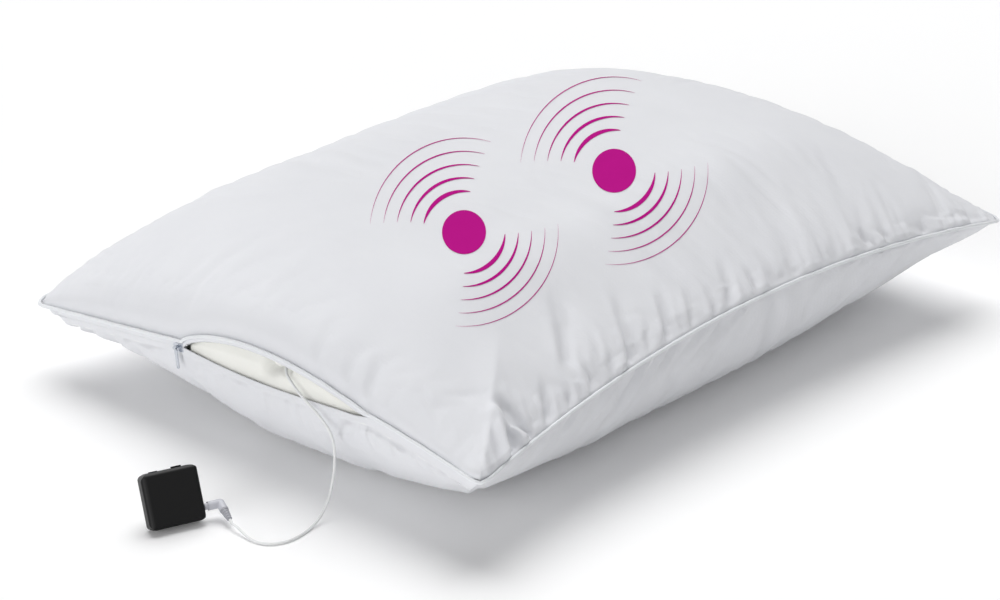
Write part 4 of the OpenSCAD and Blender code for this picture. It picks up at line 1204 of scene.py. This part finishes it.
@dataclass
class InnerPillow:
    """The cream bag inside the cover, which shows in the mouth of the zip."""

    form: PillowForm
    finishes: Finishes
    inset: float = 9.0
    floor: float = 2.4
    crown_drop: float = 2.7
    exit_y: float = -44.0
    exit_z: float = 92.5
    face: float = 318.3
    pit_deep: float = 20.0
    pit_aside: float = 12.0
    pit_wide: float = 7.0
    window_up: float = 1.0
    window_down: float = 14.4
    columns: int = 130
    rows: int = 190
    folds: tuple[Fold, ...] = (
        Fold((-312, -40, 93), (-310, -34, 76), 5.0, 4.5, 0.3),
        Fold((-312, -46, 96), (-310, -24, 98), 4.0, 3.0),
        Fold((-311, -50, 90), (-310, -66, 78), 4.5, 2.4),
        Fold((-311, -58, 94), (-310, -82, 84), 4.0, 1.6),
        Fold((-311, -48, 84), (-310, -58, 72), 4.0, 1.8),
    )

    def point(self, s: float, t: float, above: bool) -> Vector:
        """Returns a point of the bag in millimetres, for s and t from -1 to 1.

        Args:
            s: Place along the bag.
            t: Place across it.
            above: True for the upper half.

        Returns:
            The point in millimetres.
        """
        form = self.form
        if above:
            x, y = form.plan(s, t, self.inset)
            return Vector((x, y, form.seam(s, t) + (form.crown - self.crown_drop) * form.swell(s, t)))
        rho = max(abs(s), abs(t))
        if rho < TINY:
            return Vector((0, 0, self.floor))
        es, et = s / rho, t / rho
        top = form.seam(es, et)
        if rho < 0.5:
            low = form.belly(es, et, 0.0, self.inset, self.floor, top)
            return Vector((low.x * rho * 2, low.y * rho * 2, self.floor))
        return form.belly(es, et, math.sin(math.pi * (rho - 0.5)), self.inset, self.floor, top)

    def bulge(self, p: Vector) -> float:
        """Returns how far the bag swells out between the lips at a point, in millimetres.

        Args:
            p: A point on the bag, in millimetres.

        Returns:
            The move out through the mouth.
        """
        form = self.form
        share = smooth((form.straight_end + 0.5 - p.y) / 4) * smooth((1 - form.mouth(p.y)) * 9)
        if share == 0:
            return 0.0
        high = form.end_line(p.y) + form.lip_up(p.y) + self.window_up
        low = form.end_line(p.y) - form.lip_down(p.y) - self.window_down
        between = smooth((p.z - low) / 6) * smooth((high - p.z) / 10)
        away = math.hypot(p.y - self.exit_y, p.z - self.exit_z)
        # The lead sinks into a pit where it leaves the bag, a little aside of its exit
        out = (p.x + self.face) * share * between * smooth((away - 3.5) / 6)
        tilt = (p.y - self.exit_y - self.pit_aside) + 0.5 * (p.z - self.exit_z)
        pit = math.exp(-((tilt / self.pit_wide) ** 2) - ((p.z - self.exit_z - 2) / 9) ** 2)
        return max(out, 0.0) * (1 - pit) - self.pit_deep * pit * share

    def build(self) -> bpy.types.Object:
        """Builds the closed bag with the folds round the lead.

        Returns:
            The finished bag.
        """
        bm = bmesh.new()
        for above in (True, False):
            made = bmesh.ops.create_grid(bm, x_segments=self.columns, y_segments=self.rows, size=1.0)
            faces = {face for vert in made["verts"] for face in vert.link_faces}
            if not above:
                bmesh.ops.reverse_faces(bm, faces=list(faces))
            map_cloth(bm, faces, lambda vert: on_cut(*vert.co.xy))
            for vert in made["verts"]:
                s, t = (crowd(c, 0.25) for c in vert.co.xy)
                vert.co = self.point(s, t, above)
        bmesh.ops.remove_doubles(bm, verts=bm.verts, dist=0.05)
        bm.normal_update()
        moves = {}
        for vert in bm.verts:
            p, n = vert.co, vert.normal
            push = 0.0
            if p.x < -290:
                push = 0.5 * sum(fold.height(p, n) for fold in self.folds) + 0.8 * noise.noise(p / 22)
            near = smooth((-p.x - 300) / 9)
            moves[vert] = n * push * smooth((p.z - 3) / 10) - Vector((self.bulge(p) * near, 0, 0))
        for vert, step in moves.items():
            vert.co += step
            vert.co.x = max(vert.co.x, -self.face - 0.1)
        bmesh.ops.scale(bm, vec=(MM, MM, MM), verts=bm.verts)
        obj = make_piece("inner_pillow", bm, self.finishes.ticking, "inner_ticking")
        return obj


@dataclass
class Receiver:
    """The clip receiver's own frame and the finishes of its pieces."""

    finishes: Finishes
    x: float = -451.8
    y: float = -42.6
    depth: float = 14.0
    foot_r: float = 1.5
    lean: float = 25.0
    turn: float = -20.0
    jack_y: float = 5.4
    jack_z: float = 9.0
    width: float = 44.0

    def matrix(self) -> Matrix:
        """Returns the turn and place of the receiver, in millimetres.

        Returns:
            The matrix from its own frame to the shared one.
        """
        lean = math.radians(self.lean)
        lift = (self.depth - self.foot_r) * math.sin(lean) - self.foot_r * math.cos(lean) + self.foot_r
        return (Matrix.Translation((self.x, self.y, lift)) @ Matrix.Rotation(math.radians(self.turn), 4, "Z")
                @ Matrix.Rotation(-lean, 4, "X"))

    def build(self) -> None:
        """Gives each of the receiver's CAD pieces its finish."""
        self.finishes.dress({
            "shell": ("receiver_front_shell", "receiver_back_shell", "receiver_clip"),
            "key": ("play_button", "pair_button"),
            "board": ("receiver_board",),
            "foil": ("receiver_battery",),
            "black": ("receiver_jack_socket", "receiver_switches"),
            "steel": ("receiver_charge_port", "clip_pin", "clip_spring"),
            "dark_steel": ("receiver_screws",),
        })


@dataclass
class Lead:
    """The thin lead from the inner pillow to the plug, in millimetres."""

    finishes: Finishes
    receiver: Receiver
    radius: float = 1.1
    grommet: tuple[float, float, float] = (-313.0, -44.0, 92.5)
    elbow_out: float = 13.0
    tail_turn: float = 130.0
    tail_end: float = 19.0
    gap: float = 0.1
    straight: float = 2.0
    route: tuple[tuple[float, float, float], ...] = (
        (-317, -45.5, 91.8), (-321, -50.5, 88.5), (-323.5, -60, 83.5), (-325, -72, 77.5), (-326, -86, 71),
        (-326.5, -98, 63), (-327.5, -105, 53.5), (-330, -108.5, 43), (-333, -110, 31), (-337, -111, 20.5),
        (-342.5, -112.5, 12.5), (-350, -114, 6), (-359, -116, 2.4), (-368.5, -118, 1.3), (-378, -119.5, 1.2),
        (-387, -119.3, 1.2), (-394.5, -117, 1.2), (-400.5, -112.8, 1.2), (-404.2, -107, 1.2),
        (-405.6, -100.5, 1.3), (-405.4, -94, 2), (-404.6, -87.5, 3.2), (-403.4, -81, 4.4),
    )

    def on_tail(self, run: float) -> Vector:
        """Returns the point on the plug's tail at that distance from the elbow, in millimetres.

        Args:
            run: The distance from the elbow in millimetres.

        Returns:
            The point in millimetres.
        """
        turn = math.radians(self.tail_turn)
        at = Vector((self.receiver.width + self.elbow_out, self.receiver.jack_y, self.receiver.jack_z))
        return self.receiver.matrix() @ (at + run * Vector((0, -math.sin(turn), math.cos(turn))))

    def build(self) -> bpy.types.Object:
        """Returns:
            The finished lead.
        """
        start = Vector(self.grommet) - Vector((self.gap, 0, 0))
        second = Vector(self.grommet) - Vector((self.straight, 0, 0))
        ends = [self.on_tail(self.tail_end + extra) for extra in (5, 2.5, self.gap)]
        points = [start] + curve_through([second] + [Vector(p) for p in self.route] + ends, 5)
        curve = round_curve("lead_cord", [point * MM for point in points], self.radius * MM, False, 4)
        obj = link("lead_cord", curve)
        set_material(obj, self.finishes.jacket)
        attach(obj, BODY)
        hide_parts("audio_cord")
        return obj


@dataclass
class WavePrint:
    """The printed sound-wave marks: a disc and two fans of tapering arcs each, cast onto the cloth."""

    form: PillowForm
    finishes: Finishes
    eye: tuple[float, float, float] = (-1708.1, -1550.0, 1056.2)
    sight: tuple[float, float, float] = SIGHT
    disc_r: float = 17.4
    arc_first: float = 32.4
    arc_step: float = 10.5
    arc_width: float = 3.4
    arc_count: int = 5
    arc_thinning: float = 0.68
    ink_up: float = 0.3
    marks: tuple[tuple[float, float, float], ...] = ((-142.0, -62.0, 0.975), (33.0, -63.5, 1.02))

    def build(self, cloth: bpy.types.Object) -> bpy.types.Object:
        """Builds the ink as thin flat shapes that follow the folded cloth.

        The marks read as true circles from the eye point, so each is laid out across the line of
        sight and cast from the eye onto the cloth.

        Args:
            cloth: The finished upper panel.

        Returns:
            The ink's object.
        """
        tree = BVHTree.FromObject(cloth, bpy.context.evaluated_depsgraph_get())
        eye = Vector(self.eye)
        sight = Vector(self.sight).normalized()
        right = sight.cross(Vector((0, 0, 1))).normalized()
        up = right.cross(sight)
        bm = bmesh.new()
        for x, y, size in self.marks:
            s = x / self.form.half_length
            t = y / (self.form.half_width - self.form.side_pinch * (1 - s * s))
            centre = self.form.top(s, t)
            place = Matrix((right, up, -sight)).transposed()
            frame_at = Matrix.Translation(centre) @ place.to_4x4() @ Matrix.Scale(size, 4)
            disc = bmesh.ops.create_grid(bm, x_segments=24, y_segments=24, size=1.0)["verts"]
            for vert in disc:
                u, v = vert.co.xy
                spot = (u * math.sqrt(1 - v * v / 2), v * math.sqrt(1 - u * u / 2), 0)
                vert.co = Vector(spot) * self.disc_r
            bmesh.ops.transform(bm, matrix=frame_at, verts=disc)
            for i in range(self.arc_count):
                k = i / (self.arc_count - 1)
                radius = self.arc_first + i * self.arc_step
                width = self.arc_width * self.arc_thinning**i
                for start, end in ((mix(81, 73, k), mix(168, 175, k)), (mix(-90, -95.5, k), mix(-2.5, 5, k))):
                    self.arc(bm, frame_at, radius, width, start, end)
        for vert in bm.verts:
            hit, normal, _, _ = tree.ray_cast(eye * MM, (vert.co - eye).normalized())
            if hit is not None:
                vert.co = hit / MM + normal * self.ink_up
        bmesh.ops.scale(bm, vec=(MM, MM, MM), verts=bm.verts)
        bmesh.ops.recalc_face_normals(bm, faces=bm.faces)
        if sum((f.normal.z for f in bm.faces)) < 0:
            bmesh.ops.reverse_faces(bm, faces=bm.faces)
        return make_piece("wave_print_ink", bm, self.finishes.ink, "wave_print")

    def arc(self, bm: bmesh.types.BMesh, place: Matrix, radius: float, width: float, start: float, end: float,
            steps: int = 56) -> None:
        """Adds one arc that swells in the middle and tapers to points.

        Args:
            bm: The ink's mesh, in millimetres.
            place: The mark's own frame.
            radius: The arc's radius.
            width: Its width at the middle.
            start: Its first angle in degrees.
            end: Its last angle.
            steps: How many stretches it has.
        """
        verts = bmesh.ops.create_grid(bm, x_segments=steps, y_segments=2, size=0.5)["verts"]
        for vert in verts:
            k = vert.co.x + 0.5
            angle = math.radians(mix(start, end, k))
            swell = 0.1 + 0.9 * math.sin(math.pi * clamp(k)) ** 0.8
            r = radius + vert.co.y * width * swell
            vert.co = Vector((r * math.cos(angle), r * math.sin(angle), 0))
        bmesh.ops.transform(bm, matrix=place, verts=verts)


@dataclass
class KeptPieces:
    """The zip, the plug and the pieces inside, which keep their CAD shapes and only get a finish."""

    finishes: Finishes

    def build(self) -> None:
        """Gives each piece its finish."""
        self.finishes.dress({
            "tape": ("zip_tape_upper", "zip_tape_lower"),
            "teeth": ("zip_teeth_upper", "zip_teeth_lower"),
            "nickel": ("zip_end_stop", "zip_open_stops", "zip_slider", "zip_pull", "plug_contact"),
            "fibre": ("fibre_fill",),
            "foam": ("speaker_pad",),
            "black": ("speaker_basket_left", "speaker_basket_right", "wire_splice"),
            "ferrite": ("speaker_magnet_left", "speaker_magnet_right"),
            "paper": ("speaker_cone_left", "speaker_cone_right"),
            "jacket": ("speaker_wire_left", "speaker_wire_right", "cord_lead_in", "cord_grommet"),
            "plug": ("plug_body",),
            "relief": ("plug_strain_relief",),
        })


@dataclass
class Studio:
    """White floor, soft overhead light and the camera, in metres."""

    camera_at: tuple[float, float, float] = (-1.7081, -1.5500, 1.0562)
    camera_to: tuple[float, float, float] = SIGHT
    lens: float = 109.4
    floor_size: float = 14.0
    floor_lift: float = 0.035
    surround: float = 0.205
    suns: tuple[tuple[str, float, float, tuple[float, float, float]], ...] = (
        ("overhead_softbox", 2.3, 50.0, (-0.332, -0.332, -0.883)),
        ("left_softbox", 1.15, 40.0, (0.970, 0.0, -0.242)),
        ("fill_softbox", 0.40, 40.0, (0.686, 0.686, -0.242)),
    )

    def camera(self) -> None:
        """Places the camera at the photograph's viewpoint."""
        data = bpy.data.cameras.new("camera")
        data.lens = self.lens
        data.sensor_width = 36.0
        data.clip_start = 0.05
        data.clip_end = 60.0
        obj = link("camera", data)
        obj.location = self.camera_at
        aim(obj, self.camera_to)
        bpy.context.scene.camera = obj

    def floor(self) -> None:
        """Lays the floor, a matt white that keeps the soft shadow."""
        bm = bmesh.new()
        bmesh.ops.create_grid(bm, x_segments=1, y_segments=1, size=self.floor_size)
        mesh = bpy.data.meshes.new("floor")
        bm.to_mesh(mesh)
        bm.free()
        obj = link("floor", mesh)
        material, tree = new_material("matt_white_sweep")
        path = add_node(tree, "ShaderNodeLightPath")
        glow = add_node(tree, "ShaderNodeMath", {0: path.outputs["Is Camera Ray"], 1: self.floor_lift},
                        operation="MULTIPLY")
        shader = add_node(tree, "ShaderNodeBsdfPrincipled",
                          {"Base Color": (1.0, 1.0, 1.0, 1), "Roughness": 1.0, "Specular IOR Level": 0.0,
                           "Emission Color": (1.0, 1.0, 1.0, 1), "Emission Strength": glow.outputs[0]})
        close_material(tree, shader)
        set_material(obj, material)

    def light(self) -> None:
        """Adds the three soft lights and the surround, which is white where it is seen directly."""
        world = bpy.data.worlds.new("surround")
        bpy.context.scene.world = world
        world.use_nodes = True
        tree = world.node_tree
        tree.nodes.clear()
        path = add_node(tree, "ShaderNodeLightPath")
        even = add_node(tree, "ShaderNodeBackground",
                        {"Color": (0.98, 0.98, 1.0, 1), "Strength": self.surround})
        white = add_node(tree, "ShaderNodeBackground", {"Color": (1, 1, 1, 1), "Strength": 1.0})
        direct = add_node(tree, "ShaderNodeMath",
                          {0: path.outputs["Is Camera Ray"], 1: path.outputs["Is Transmission Ray"]},
                          operation="MAXIMUM")
        seen = add_node(tree, "ShaderNodeMath", {0: direct.outputs[0], 1: path.outputs["Is Glossy Ray"]},
                        operation="MAXIMUM")
        choice = add_node(tree, "ShaderNodeMixShader",
                          {0: seen.outputs[0], 1: even.outputs[0], 2: white.outputs[0]})
        add_node(tree, "ShaderNodeOutputWorld", {"Surface": choice.outputs[0]})
        for name, energy, spread, toward in self.suns:
            data = bpy.data.lights.new(name, "SUN")
            data.energy = energy
            data.angle = math.radians(spread)
            aim(link(name, data), toward)

    def build(self) -> None:
        """Builds the camera, floor and light and sets the plain view."""
        self.camera()
        self.floor()
        self.light()
        bpy.context.scene.view_settings.view_transform = "Standard"


def main() -> None:
    """Builds every part of the object in order."""
    logging.basicConfig(level=logging.INFO, format="%(message)s")
    Studio().build()
    finishes = Finishes()
    form = PillowForm()
    receiver = Receiver(finishes)
    Lead(finishes, receiver).build()
    inner = InnerPillow(form, finishes).build()
    cloth = Cover(form, finishes).build()
    WavePrint(form, finishes).build(cloth)
    KeptPieces(finishes).build()
    receiver.build()
    LOG.info("inner pillow: %s", inner.name)


if __name__ == "__main__":
    main()
